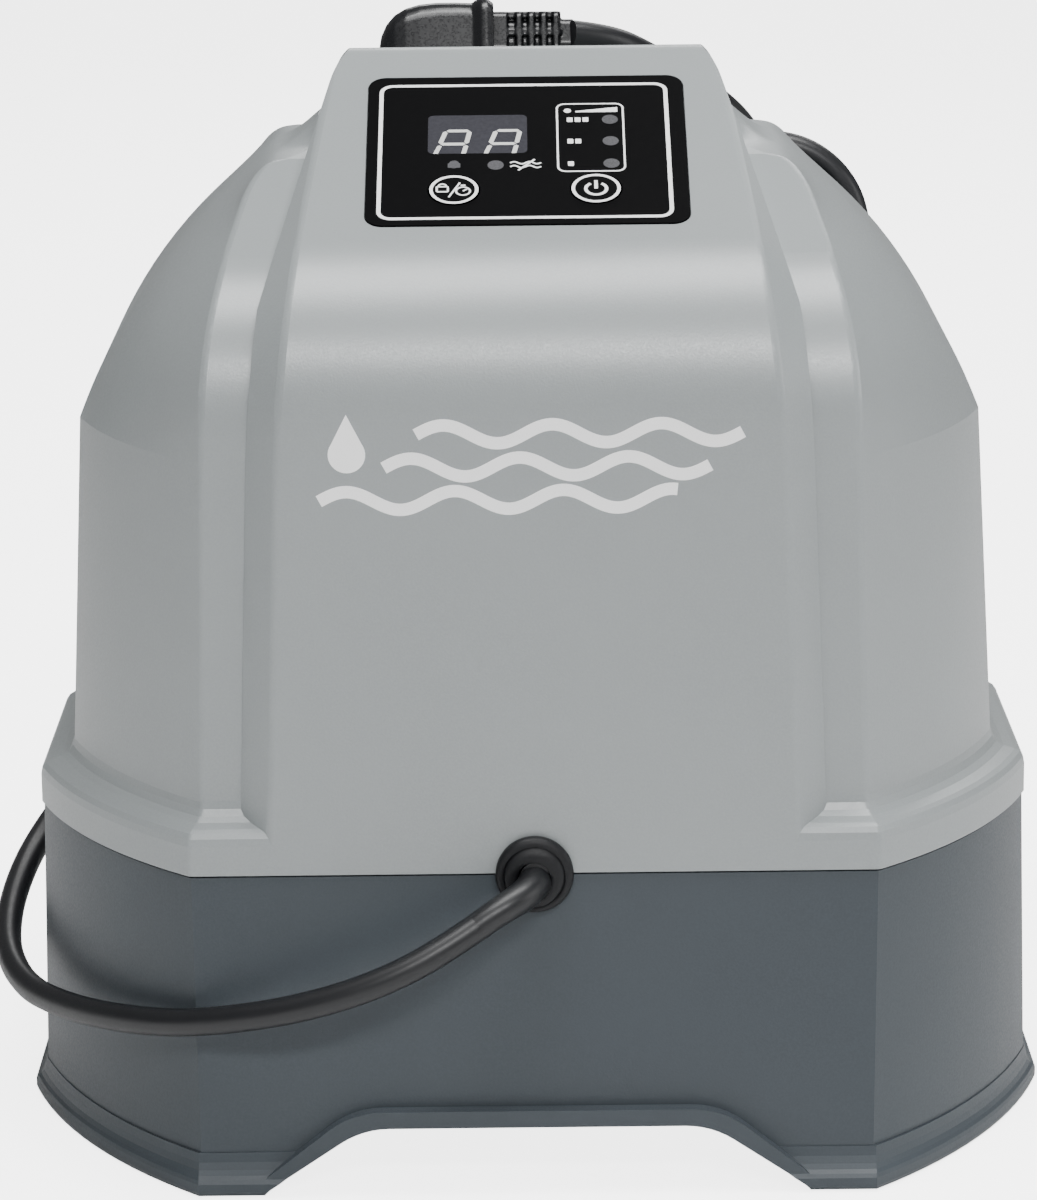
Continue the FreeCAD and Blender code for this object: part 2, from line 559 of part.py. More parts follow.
# ---- control panel ----
def make_panel():
    overlay = panel_block(PANEL_W, PANEL_H, PANEL_ROUND, -PANEL_SEAT, PANEL_PROUD)
    u, v, w, h = WINDOW
    window_hole = panel_block(w, h, 1.5, -5.0, 5.0)
    window_hole.translate(V(u, v, 0))
    overlay = overlay.cut(window_hole)
    for bu, bv in (TIMER_BUTTON, POWER_BUTTON):
        hole = panel_disc(BUTTON_R + BUTTON_GAP, -5.0, 5.0)
        hole.translate(V(bu, bv, 0))
        overlay = overlay.cut(hole)
    lenses = []
    for lu, lv in LEDS:
        hole = panel_disc(LED_R, -5.0, 5.0)
        hole.translate(V(lu, lv, 0))
        overlay = overlay.cut(hole)
        lens = panel_disc(LED_R, -6.0, PANEL_PROUD)
        lens.translate(V(lu, lv, 0))
        lenses.append(on_panel(lens))
    keep("panel_overlay", on_panel(overlay))
    keep("indicator_lenses", Part.makeCompound(lenses))
    window = panel_block(w, h, 1.5, -PANEL_SEAT, PANEL_PROUD - 0.1)
    keep("display_window", on_panel(window, u, v))
    for name, (bu, bv) in (("timer_lock_button", TIMER_BUTTON), ("power_button", POWER_BUTTON)):
        cap = panel_disc(BUTTON_R, -PANEL_SEAT, PANEL_PROUD + 0.15)
        stem = panel_disc(2.0, -7.4, -PANEL_SEAT)
        keep(name, on_panel(cap.fuse(stem), bu, bv))
    board = panel_block(76.0, 58.0, 2.0, BOARD_N - 1.6, BOARD_N)
    for su, sv in DISPLAY_SCREWS:
        hole = panel_disc(1.4, BOARD_N - 4, BOARD_N + 2)
        hole.translate(V(su, sv, 0))
        board = board.cut(hole)
    keep("display_board", on_panel(board))
    keep("display_module", on_panel(panel_block(w - 0.6, h - 0.6, 0.6, BOARD_N, -PANEL_SEAT - 0.3), u, v))
    switches = []
    for bu, bv in (TIMER_BUTTON, POWER_BUTTON):
        body = panel_block(6.0, 6.0, 0.5, BOARD_N, BOARD_N + 3.2)
        switches.append(on_panel(body.fuse(panel_disc(1.6, BOARD_N + 3.2, -8.2)), bu, bv))
    keep("tactile_switches", Part.makeCompound(switches))
    leds = [on_panel(panel_disc(1.4, BOARD_N, -6.2), lu, lv) for lu, lv in LEDS]
    keep("indicator_leds", Part.makeCompound(leds))
    posts = []
    pins = []
    for su, sv in DISPLAY_SCREWS:
        post = panel_disc(3.0, BOARD_N, -WALL).cut(panel_disc(1.1, BOARD_N - 1, BOARD_N + 6))
        posts.append(on_panel(post, su, sv))
        pin = panel_disc(2.6, BOARD_N - 3.2, BOARD_N - 1.6)
        pin = pin.fuse(panel_disc(1.1, BOARD_N - 1.6, BOARD_N + 5))
        pins.append(on_panel(pin, su, sv))
    keep("display_spacers", Part.makeCompound(posts))
    keep("display_screws", Part.makeCompound(pins))


# ---- water side ----
def make_cell():
    left, right = CELL_ENDS
    vessel = rod(at(left, CELL_DEPTH, PORT_Z), at(right, CELL_DEPTH, PORT_Z), CELL_R)
    room = rod(at(left + 4, CELL_DEPTH, PORT_Z), at(right + 1, CELL_DEPTH, PORT_Z), CELL_BORE)
    for x in PORT_X:
        vessel = vessel.fuse(rod(at(x, CELL_DEPTH, PORT_Z), at(x, PIPE_END, PORT_Z), PIPE_R))
        room = room.fuse(rod(at(x, CELL_DEPTH, PORT_Z), at(x, PIPE_END + 1, PORT_Z), PIPE_BORE))
    sensor = at(PORT_X[0], SENSOR_DEPTH, PORT_Z)
    neck = rod(sensor, at(PORT_X[0], SENSOR_DEPTH, NECK_TOP), 11.0)
    neck_bore = rod(sensor, at(PORT_X[0], SENSOR_DEPTH, NECK_TOP + 1.0), 8.5)
    keep("cell_housing", vessel.fuse(neck).cut(room.fuse(neck_bore)).removeSplitter())
    cap = rod(at(right + 2.0, CELL_DEPTH, PORT_Z), at(right + 10.0, CELL_DEPTH, PORT_Z), CELL_R)
    cap = cap.fuse(rod(at(right - 8, CELL_DEPTH, PORT_Z), at(right + 2, CELL_DEPTH, PORT_Z), CELL_BORE - 0.2))
    for z in TERMINAL_Z:
        cap = cap.cut(rod(at(right - 20, CELL_DEPTH, z), at(right + 20, CELL_DEPTH, z), 2.5))
    keep("cell_end_cap", cap)
    ring = tube(at(right, CELL_DEPTH, PORT_Z), at(right + 2.0, CELL_DEPTH, PORT_Z), CELL_R, CELL_BORE)
    keep("cell_cap_seal", ring)
    plates = []
    bars = []
    for i in range(7):
        z = PORT_Z - 12.0 + 4.0 * i
        plates.append(box(-38.0, 30.0, CELL_DEPTH - 17, CELL_DEPTH + 17, z - 0.5, z + 0.5))
    keep("electrode_plates", Part.makeCompound(plates))
    for z in TERMINAL_Z:
        stud = rod(at(30.0, CELL_DEPTH, z), at(right + 17, CELL_DEPTH, z), 2.5)
        nut = tube(at(right + 10.0, CELL_DEPTH, z), at(right + 14.0, CELL_DEPTH, z), 5.0, 2.5)
        bars.append(stud.fuse(nut))
    keep("electrode_terminals", Part.makeCompound(bars))
    combs = []
    for x in (-34.0, 24.0):
        comb = box(x - 2, x + 2, CELL_DEPTH + 17.2, CELL_DEPTH + 19.4, PORT_Z - 13, PORT_Z + 13)
        combs.append(comb)
        combs.append(box(x - 2, x + 2, CELL_DEPTH - 19.4, CELL_DEPTH - 17.2, PORT_Z - 13, PORT_Z + 13))
    keep("electrode_spacers", Part.makeCompound(combs))
    make_flow_sensor()
    make_ports()


def make_flow_sensor():
    x = PORT_X[0]
    pin_z = PADDLE_PIN_Z
    plug = rod(at(x, SENSOR_DEPTH, pin_z + 3.6), at(x, SENSOR_DEPTH, NECK_TOP), 8.4)
    head = rod(at(x, SENSOR_DEPTH, NECK_TOP), at(x, SENSOR_DEPTH, NECK_TOP + 14.0), 12.0)
    ears = box(x - 6.0, x + 6.0, SENSOR_DEPTH - 3, SENSOR_DEPTH + 3, pin_z - 4.0, pin_z + 4.5)
    ears = ears.cut(box(x - 3.4, x + 3.4, SENSOR_DEPTH - 5, SENSOR_DEPTH + 5, pin_z - 5.0, pin_z + 3.2))

    def across(half, radius):
        return rod(at(x - half, SENSOR_DEPTH, pin_z), at(x + half, SENSOR_DEPTH, pin_z), radius)

    body = plug.fuse(head).fuse(ears).cut(across(9.0, PADDLE_PIN_R))
    keep("flow_sensor_body", body.removeSplitter())
    keep("flow_paddle_pin", across(6.0, PADDLE_PIN_R))
    blade = box(x - 3.0, x + 3.0, SENSOR_DEPTH - 0.8, SENSOR_DEPTH + 0.8, PORT_Z - 3.0, pin_z)
    disc = rod(at(x, SENSOR_DEPTH - 0.8, PORT_Z - 3.0), at(x, SENSOR_DEPTH + 0.8, PORT_Z - 3.0), 7.0)
    knuckle = across(3.0, 2.6)
    hole = across(9.0, PADDLE_PIN_R + 0.06)
    keep("flow_paddle", knuckle.fuse(blade).fuse(disc).cut(hole).removeSplitter())


def make_nut(x):
    """Ribbed union nut with a rear lip that holds the hose adapter's flange."""
    start, end = PIPE_END - 8.5, PIPE_END + 9.5
    body = rod(at(x, start, PORT_Z), at(x, end, PORT_Z), NUT_R)
    edge = [e for e in body.Edges if e.BoundBox.YLength < 0.01]
    body = body.makeChamfer(1.2, edge)
    for i in range(16):
        a = 2 * math.pi * i / 16
        groove = rod(at(x + (NUT_R + 0.6) * math.cos(a), start - 1, PORT_Z + (NUT_R + 0.6) * math.sin(a)),
                     at(x + (NUT_R + 0.6) * math.cos(a), end + 1, PORT_Z + (NUT_R + 0.6) * math.sin(a)), 2.0)
        body = body.cut(groove)
    body = body.cut(rod(at(x, start - 1, PORT_Z), at(x, PIPE_END + 6.0, PORT_Z), PIPE_R + RUNNING_GAP))
    return body.cut(rod(at(x, start - 1, PORT_Z), at(x, end + 1, PORT_Z), SPIGOT_R + 1.4 + RUNNING_GAP))


def make_ports():
    seals = []
    for name, x in (("inlet", PORT_X[0]), ("outlet", PORT_X[1])):
        seals.append(tube(at(x, PIPE_END, PORT_Z), at(x, PIPE_END + 2.0, PORT_Z), PIPE_R - 0.6, PIPE_BORE))
        flange = rod(at(x, PIPE_END + 2.0, PORT_Z), at(x, PIPE_END + 5.5, PORT_Z), PIPE_R - 0.3)
        collar = rod(at(x, PIPE_END + 5.5, PORT_Z), at(x, PIPE_END + 10.5, PORT_Z), SPIGOT_R + 1.4)
        spigot = rod(at(x, PIPE_END + 10.5, PORT_Z), at(x, CASE_DEPTH + PORT_REACH, PORT_Z), SPIGOT_R)
        bore = rod(at(x, PIPE_END, PORT_Z), at(x, 300, PORT_Z), SPIGOT_BORE)
        keep(name + "_hose_adapter", flange.fuse(collar).fuse(spigot).cut(bore).removeSplitter())
        keep(name + "_nut", make_nut(x))
    keep("port_seals", Part.makeCompound(seals))
    stud = rod(at(BOND_X, CASE_DEPTH - 6, BOND_Z), at(BOND_X, CASE_DEPTH + 13, BOND_Z), 3.0)
    nut = rod(at(BOND_X, CASE_DEPTH + 4.0, BOND_Z), at(BOND_X, CASE_DEPTH + 8.0, BOND_Z), 5.2)
    washer = rod(at(BOND_X, CASE_DEPTH + 2.4, BOND_Z), at(BOND_X, CASE_DEPTH + 4.0, BOND_Z), 6.0)
    keep("bonding_terminal", stud.fuse(nut).fuse(washer).removeSplitter())


# ---- dry side ----
def make_electronics():
    z = FLOOR_PLATE_Z + FLOOR_PLATE_T + 6.0
    board = box(32.0, 106.0, 20.0, 90.0, z, z + 1.6)
    board = board.cut(box(92.0, 140.0, 0.0, 38.0, z - 1, z + 3))
    for x, depth in BOARD_POSTS:
        board = board.cut(rod(at(x, depth, z - 5), at(x, depth, z + 5), 1.7))
    keep("main_board", board)
    on = z + 1.6
    pins = [rod(at(x, k, on), at(x, k, on + 2.0), 3.0).fuse(rod(at(x, k, z - 6.0), at(x, k, on), 1.2))
            for x, k in BOARD_POSTS]
    keep("board_screws", Part.makeCompound(pins))
    caps = [rod(at(48.0 + 19.0 * i, 70.0, on), at(48.0 + 19.0 * i, 70.0, on + 30.0), 8.0) for i in range(3)]
    keep("capacitors", Part.makeCompound(caps))
    keep("relay", box(80.0, 96.0, 44.0, 60.0, on, on + 16.0))
    fins = box(46.0, 76.0, 40.0, 42.4, on, on + 34.0)
    for i in range(6):
        fins = fins.fuse(box(46.0 + 5.6 * i, 48.0 + 5.6 * i, 42.4, 56.0, on, on + 34.0))
    keep("heat_sink", fins.removeSplitter())
    keep("rectifier", box(54.0, 68.0, 36.0, 40.0, on + 4.0, on + 24.0))
    keep("fuse_holder", box(44.0, 70.0, 20.0, 29.0, on, on + 10.0))
    block = box(78.0, 96.0, 28.0, 38.0, on, on + 12.0)
    for i in range(3):
        block = block.cut(rod(at(81.0 + 6.0 * i, 33.0, on + 6), at(81.0 + 6.0 * i, 33.0, on + 14), 1.8))
    keep("terminal_block", block)
    make_transformer(z)


def make_transformer(z):
    """Laminated core with the coil round its middle limb, on a screwed-down bracket."""
    on = z + 1.2
    core = box(68.0, 100.0, 112.0, 168.0, on, on + 46.0)
    core = core.cut(box(60.0, 110.0, 120.0, 160.0, on + 8.0, on + 38.0))
    limb = box(68.0, 100.0, 120.0, 160.0, on + 17.0, on + 29.0)
    keep("transformer_core", core.fuse(limb).removeSplitter())
    coil = box(60.5, 107.0, 121.0, 159.0, on + 8.5, on + 37.5)
    keep("transformer_coil", coil.cut(box(67.7, 100.3, 110.0, 170.0, on + 16.7, on + 29.3)))
    bracket = box(66.0, 102.0, 103.5, 176.5, z, on)
    screws_up = []
    for x, depth in TRANSFORMER_POSTS:
        bracket = bracket.cut(rod(at(x, depth, z - 2), at(x, depth, on + 2), 1.7))
        head = rod(at(x, depth, on), at(x, depth, on + 2.0), 3.0)
        screws_up.append(head.fuse(rod(at(x, depth, z - 6), at(x, depth, on), 1.2)))
    keep("transformer_bracket", bracket)
    keep("transformer_screws", Part.makeCompound(screws_up))


def corner_radii(points, share=0.45):
    """The largest arc that each corner's two runs allow."""
    radii = [0.0]
    for i in range(1, len(points) - 1):
        before = points[i] - points[i - 1]
        after = points[i + 1] - points[i]
        half_turn = before.getAngle(after) / 2.0
        radii.append(share * min(before.Length, after.Length) / math.tan(half_turn))
    return radii + [0.0]


def cable(points, diameter):
    """A round cable along straight runs joined by tangent arcs."""
    radii = corner_radii(points)
    path = rounded_path(points, radii)
    start = points[0]
    along = points[1] - points[0]
    ring = Part.Wire([Part.Circle(start, along, diameter / 2.0).toShape()])
    solid = path.makePipeShell([ring], True, False)
    print("cable length", round(path.Length, 1), "radii", [round(r) for r in radii[1:-1]],
          "volume ratio", round(solid.Volume / (path.Length * math.pi * diameter ** 2 / 4.0), 4))
    return solid


def make_leads():
    x = CELL_ENDS[1] + 12.0
    near = CELL_DEPTH - 5.2
    leads = []
    for z, far in ((TERMINAL_Z[0], 81.0), (TERMINAL_Z[1], 90.0)):
        points = [at(x, near, z), at(x, near - 10.0, z + 3.0), at(x + 3.0, near - 22.0, 76.0),
                  at(x + 16.0, near - 36.0, 84.0), at(far, 56.0, 80.0), at(far, 42.0, 66.0),
                  at(far, 34.0, 46.0)]
        leads.append(cable(points, 3.0))
    keep("cell_leads", Part.makeCompound(leads))
    run = rounded_path([at(0, 80.0, 236.0), at(0, 87.0, 200.0), at(0, 87.0, 66.0), at(0, 78.0, 31.4)],
                       [0, 20, 30, 0])
    strip = Part.Face(run.makeOffset2D(0.8, 0, True, True, True)).extrude(V(18.0, 0, 0))
    strip.translate(V(18.0, 0, 0))
    keep("ribbon_cable", strip)


# ---- mains cord ----
def make_cord():
    disc = rod(at(0, -3.4, GROMMET_Z), at(0, 0.0, GROMMET_Z), GROMMET_R)
    disc = disc.makeFillet(0.9, [e for e in disc.Edges if abs(e.BoundBox.YMin - d(-3.4)) < 0.01
                                 and e.BoundBox.YLength < 0.01])
    neck = rod(at(0, 0, GROMMET_Z), at(0, 7.0, GROMMET_Z), GROMMET_NECK_R)
    inner = rod(at(0, 7.0, GROMMET_Z), at(0, 9.0, GROMMET_Z), GROMMET_R)
    grommet = disc.fuse(neck).fuse(inner)
    grommet = grommet.cut(rod(at(0, -9, GROMMET_Z), at(0, 12, GROMMET_Z), CORD_D / 2.0))
    end = at(*SLEEVE_END)
    root = at(0, -1.6, GROMMET_Z - SLEEVE_DROP)
    axis = end - root
    sleeve = Part.makeCone(SLEEVE_ROOT_R, CORD_D / 2.0 + 0.2, axis.Length, root, axis)
    sleeve = sleeve.cut(box(-30, 30, -3.4, 20, 60, 100))
    keep("cable_grommet", grommet)
    keep("cord_sleeve", sleeve.removeSplitter())
    inside = [at(0, -3.3, GROMMET_Z), at(0, 14.0, GROMMET_Z), at(4.0, 26.0, 78.0), at(18.0, 33.0, 60.0),
              at(34.0, 33.0, 50.0), at(46.0, 33.0, 48.0)]
    keep("inner_mains_lead", cable(inside, CORD_D))
    clamp = box(-8.0, 8.0, 14.5, 22.5, 22.0, GROMMET_Z - 12)
    keep("cord_clamp", clamp)
    keep("power_cord", cable([at(*p) for p in FRONT_ROUTE], CORD_D))
    keep("plug_lead", cable([at(*p) for p in PLUG_ROUTE], CORD_D))
    thick = HANK_TURNS * CORD_D
    x0, half, waist = HANK_X, HANK_HALF, HANK_WAIST_HALF
    profile = [
        (x0 - half, 0.0), (x0 + half, 0.0), (x0 + half, 74.0), (x0 + waist, HANK_WAIST_Z),
        (x0 + half, 172.0), (x0 + half, HANK_TOP), (x0 - half, HANK_TOP), (x0 - half, 172.0),
        (x0 - waist, HANK_WAIST_Z), (x0 - half, 74.0),
    ]
    rounds = [31, 31, 40, 40, 40, 31, 31, 40, 40, 40]
    hank = slab([at(x, HANK_FRONT, z) for x, z in profile], rounds, V(0, thick, 0))
    keep("cord_hank", hank)
    ring = box(x0 - waist - 2.4, x0 + waist + 2.4, HANK_FRONT - 1.6, HANK_FRONT + thick + 1.6,
               HANK_WAIST_Z - 6, HANK_WAIST_Z + 6)
    keep("cord_tie", ring.cut(hank))
    make_plug()


def make_plug():
    """Two-pin plug lying on the rear slope, its pins pointing down the slope."""
    def on_rear(shape):
        placed = shape.copy()
        placed.rotate(V(0, 0, 0), V(1, 0, 0), -SLOPE)
        rear_z = HOOD_EDGE_Z + (CASE_DEPTH - PLUG_DEPTH) * TAN_SLOPE
        placed.translate(at(PLUG_MID_X, PLUG_DEPTH, rear_z))
        return placed

    axis_n = 10.4
    body = slab([V(-16.0, -8.0, 0.4), V(16.0, -8.0, 0.4), V(16.0, -8.0, 20.2), V(-16.0, -8.0, 20.2)],
                [9.0, 5.0, 5.0, 9.0], V(0, 28.0, 0))
    pins = []
    for side in (-9.5, 9.5):
        start = V(side, 20.0, axis_n)
        pins.append(on_rear(rod(start, start + V(0, 19.0, 0), 2.4)))
    keep("plug_body", on_rear(body))
    keep("plug_pins", Part.makeCompound(pins))
    relief = Part.makeCone(6.6, CORD_D / 2.0 + 0.4, 19.0, V(16.0, 0, axis_n), V(1, 0, 0))
    keep("plug_strain_relief", on_rear(relief))


def main():
    os.makedirs("parts", exist_ok=True)
    make_case()
    make_panel()
    make_cell()
    make_electronics()
    make_cord()
    make_leads()
    for name, shape in PARTS.items():
        if not shape.isValid() or not shape.Solids:
            print("BAD", name, shape.ShapeType, len(shape.Solids))
        shape.exportStep("parts/" + name + ".step")
    print(len(PARTS), "parts")


main()
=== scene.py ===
import json
import math

import bmesh
import bpy
from mathutils import Matrix, Vector

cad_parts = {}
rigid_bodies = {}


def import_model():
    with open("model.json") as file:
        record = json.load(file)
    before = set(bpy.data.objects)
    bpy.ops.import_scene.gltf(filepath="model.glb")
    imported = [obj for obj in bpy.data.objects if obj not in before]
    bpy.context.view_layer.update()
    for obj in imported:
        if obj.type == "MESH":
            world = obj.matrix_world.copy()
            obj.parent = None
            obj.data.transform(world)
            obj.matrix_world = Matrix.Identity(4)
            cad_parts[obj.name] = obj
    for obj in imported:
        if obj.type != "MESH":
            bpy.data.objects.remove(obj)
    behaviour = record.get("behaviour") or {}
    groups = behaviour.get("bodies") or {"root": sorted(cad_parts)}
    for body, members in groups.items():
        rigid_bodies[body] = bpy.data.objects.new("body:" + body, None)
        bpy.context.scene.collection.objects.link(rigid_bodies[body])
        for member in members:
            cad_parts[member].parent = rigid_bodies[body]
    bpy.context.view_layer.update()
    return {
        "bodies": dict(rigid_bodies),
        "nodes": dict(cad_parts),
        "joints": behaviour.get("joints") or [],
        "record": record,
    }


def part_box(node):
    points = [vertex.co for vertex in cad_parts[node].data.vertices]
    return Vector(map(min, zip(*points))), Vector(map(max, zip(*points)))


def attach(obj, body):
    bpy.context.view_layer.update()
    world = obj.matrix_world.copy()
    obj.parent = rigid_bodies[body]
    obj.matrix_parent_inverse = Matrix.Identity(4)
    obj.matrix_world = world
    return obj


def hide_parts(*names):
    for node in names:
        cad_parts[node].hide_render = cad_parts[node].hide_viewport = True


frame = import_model()

MM = 0.001

# ---- places read from the frame ----
COVER_LOW, COVER_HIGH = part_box("top_cover")
PANEL_LOW, PANEL_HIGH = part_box("panel_overlay")
FRONT_Y = COVER_LOW.y                       # the hood's front face
CASE_DEPTH = COVER_HIGH.y - COVER_LOW.y
SLOPE = math.radians(26.4)                  # the panel's and the rear face's slope from level


def depth(mm):
    """A depth behind the front face, in millimetres, as a Y coordinate."""
    return FRONT_Y + mm * MM


def at(x, back, z):
    """A point from millimetres: across, behind the front face, above the floor."""
    return Vector((x * MM, depth(back), z * MM))


# ---- camera ----
LENS, SENSOR = 137.3, 36.0
CAMERA_X, CAMERA_AWAY, CAMERA_Z = -0.0033, 1.096, 0.4188    # in metres, away from the front face
CAMERA_DIP, CAMERA_ROLL = 13.6, -0.62                       # in degrees, below level and about its own axis


def make_camera():
    data = bpy.data.cameras.new("camera")
    data.sensor_width = SENSOR
    data.lens = LENS
    camera = bpy.data.objects.new("camera", data)
    camera.location = (CAMERA_X, FRONT_Y - CAMERA_AWAY, CAMERA_Z)
    look = Matrix.Rotation(math.radians(90.0 - CAMERA_DIP), 4, "X")
    roll = Matrix.Rotation(math.radians(CAMERA_ROLL), 4, "Z")
    camera.rotation_euler = (look @ roll).to_euler()
    data.clip_start = 0.05
    data.clip_end = 20.0
    bpy.context.scene.collection.objects.link(camera)
    bpy.context.scene.camera = camera


make_camera()

# ---- mains cord ----
CORD_D = 7.2
# From the sleeve round the left side and over the port nuts to the hank: (x, depth, z) in millimetres.
FRONT_ROUTE = [
    (-12.2, -13.8, 75.4), (-24.0, -19.0, 68.4), (-40.5, -21.2, 60.8), (-58.0, -18.8, 54.8),
    (-75.0, -13.2, 50.2), (-92.0, -3.5, 46.0), (-108.0, 10.5, 43.2), (-122.0, 28.5, 40.4),
    (-133.8, 49.0, 38.8), (-141.0, 71.0, 41.4), (-142.6, 94.0, 45.6), (-141.2, 117.0, 50.2),
    (-138.0, 139.0, 53.8), (-131.4, 160.5, 59.8), (-120.0, 181.0, 68.4), (-106.0, 200.0, 77.2),
    (-89.5, 218.0, 82.8), (-70.0, 227.6, 83.8), (-46.0, 230.6, 83.2), (-22.0, 231.8, 83.2),
    (1.0, 234.6, 83.4), (22.0, 240.4, 82.8), (40.5, 246.6, 87.0), (51.0, 249.2, 99.0),
]
# From the hank's left leg over the rear shoulder to the plug.
PLUG_ROUTE = [
    (54.5, 221.8, 160.0), (56.3, 221.2, 177.0), (61.0, 218.2, 194.0), (66.4, 212.6, 209.8),
    (68.2, 203.4, 225.2), (65.6, 192.0, 237.6), (60.4, 180.2, 247.2), (52.4, 168.0, 255.6),
    (43.4, 155.0, 263.0), (33.5, 143.5, 270.4), (23.0, 133.8, 276.4), (12.5, 130.0, 278.0),
]
HANK_X = 70.0
HANK_TURNS = 4
HANK_REAR, HANK_FRONT = 250.6, 221.8
HANK_R = 28.0
HANK_BOTTOM, HANK_TOP = 3.8, 235.9
TURN_DROP = 2.8             # each turn behind the front one is this much shorter at the top
TURN_LIFT = 0.8             # and each turn in front of the rear one hangs this much higher at the bottom
TURN_NARROWER, TURN_SWAY = 0.4, 0.7
TURN_ANGLES = (172, 140, 108, 72, 40, 8)
LEG_Z = (64, 92, 118, 146, 176)
LAST_LEG_Z = (118.0, 142.0)
WAIST_Z, WAIST_HALF, WAIST_LONG = 122.0, 12.5, 52.0


def leg_half(z, half):
    """Half the distance between the hank's two legs, drawn in at the tie."""
    pull = 0.5 * (1 + math.cos(math.pi * min(1.0, abs(z - WAIST_Z) / WAIST_LONG)))
    return half - (half - WAIST_HALF) * pull


def hank_turn(index):
    """One turn: up the left leg, over the top, down the right leg and round the bottom."""
    behind = HANK_TURNS - 1 - index
    half = HANK_R - TURN_NARROWER * behind
    top = HANK_TOP - half - TURN_DROP * behind
    bottom = HANK_BOTTOM + half + TURN_LIFT * index
    shift = TURN_SWAY * math.sin(1.7 * behind)

    def leg(side, heights):
        return [(side * leg_half(z, half), z) for z in heights]

    def bend(middle, angles):
        return [(half * math.cos(math.radians(a)), middle + half * math.sin(math.radians(a)))
                for a in angles]

    ring = leg(-1, LEG_Z[2:]) + bend(top, TURN_ANGLES)
    ring += leg(1, reversed(LEG_Z)) + bend(bottom, [-a for a in reversed(TURN_ANGLES)])
    ring += leg(-1, LEG_Z[:2])
    count = len(ring)
    pitch = (HANK_REAR - HANK_FRONT) / HANK_TURNS
    return [(HANK_X + shift + x, HANK_REAR - pitch * (index + k / count), z)
            for k, (x, z) in enumerate(ring)]


def nurbs(name, points, radius):
    """One smooth open NURBS tube along given points, each of which carries the tube's radius."""
    curve = bpy.data.curves.new(name, "CURVE")
    curve.dimensions = "3D"
    curve.resolution_u = 10
    curve.bevel_depth = 1.0
    curve.bevel_resolution = 6
    curve.use_fill_caps = True
    spline = curve.splines.new("NURBS")
    spline.points.add(len(points) - 1)
    for target, point in zip(spline.points, points):
        target.co = (*point, 1.0)
        target.radius = radius
    spline.order_u = 3
    spline.use_endpoint_u = True
    piece = bpy.data.objects.new(name, curve)
    bpy.context.scene.collection.objects.link(piece)
    return piece


def make_cord():
    points = list(FRONT_ROUTE)
    for index in range(HANK_TURNS):
        points += hank_turn(index)
    points += [(HANK_X - leg_half(z, HANK_R), HANK_FRONT, z) for z in LAST_LEG_Z]
    points += PLUG_ROUTE
    cord = nurbs("mains_cord", [at(*p) for p in points], CORD_D / 2 * MM)
    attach(cord, "housing")
    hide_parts("power_cord", "plug_lead", "cord_hank")
    return cord


cord = make_cord()


# ---- materials ----
class Nodes:
    """A small helper that adds and joins shader nodes."""

    def __init__(self, name):
        self.material = bpy.data.materials.new(name)
        self.material.use_nodes = True
        self.tree = self.material.node_tree
        self.shader = self.tree.nodes["Principled BSDF"]
        self.coords = self.tree.nodes.new("ShaderNodeTexCoord").outputs["Object"]

    def add(self, kind, **inputs):
        node = self.tree.nodes.new("ShaderNode" + kind)
        for key, value in inputs.items():
            socket = node.inputs[key.replace("_", " ")]
            if isinstance(value, bpy.types.NodeSocket):
                self.tree.links.new(value, socket)
            else:
                socket.default_value = value
        return node

    def join(self, output, name):
        self.tree.links.new(output, self.shader.inputs[name])

    def noise(self, scale, detail=2.0, roughness=0.5):
        node = self.add("TexNoise", Vector=self.coords, Scale=scale, Detail=detail, Roughness=roughness)
        return node.outputs["Fac"]

    def ramp(self, value, low, high, out_low, out_high):
        node = self.add("MapRange", Value=value)
        node.inputs["From Min"].default_value = low
        node.inputs["From Max"].default_value = high
        node.inputs["To Min"].default_value = out_low
        node.inputs["To Max"].default_value = out_high
        return node.outputs["Result"]

    def mix(self, factor, a, b):
        node = self.tree.nodes.new("ShaderNodeMix")
        node.data_type = "RGBA"
        self.tree.links.new(factor, node.inputs["Factor"])
        for socket, colour in ((node.inputs[6], a), (node.inputs[7], b)):
            if isinstance(colour, bpy.types.NodeSocket):
                self.tree.links.new(colour, socket)
            else:
                socket.default_value = (*colour, 1.0)
        return node.outputs[2]

    def bump(self, height, distance):
        node = self.add("Bump", Height=height, Distance=distance, Strength=1.0)
        self.join(node.outputs["Normal"], "Normal")


def linear(r, g, b):
    """sRGB 0-255 as linear values."""
    return tuple(((c / 255 + 0.055) / 1.055) ** 2.4 if c > 10 else c / 255 / 12.92 for c in (r, g, b))


def shade(colour, factor):
    return tuple(c * factor for c in colour)


def moulded(name, colour, rough=0.5, grain=1500.0, relief=0.00004, variation=0.05, specular=0.5):
    """Moulded plastic or rubber: spark-eroded grain, faint flow mottling and uneven gloss."""
    n = Nodes(name)
    mottle = n.noise(22.0, 3.0)
    fine = n.noise(grain, 2.0, 0.6)
    tone = n.ramp(mottle, 0.3, 0.7, 0.0, 1.0)
    base = n.mix(tone, shade(colour, 1 - variation), shade(colour, 1 + variation))
    speck = n.ramp(fine, 0.35, 0.7, 0.0, 1.0)
    n.join(n.mix(speck, base, shade(colour, 1 + 2.2 * variation)), "Base Color")
    n.join(n.ramp(fine, 0.3, 0.7, rough + 0.06, rough - 0.06), "Roughness")
    n.shader.inputs["Specular IOR Level"].default_value = specular
    n.bump(fine, relief)
    return n.material


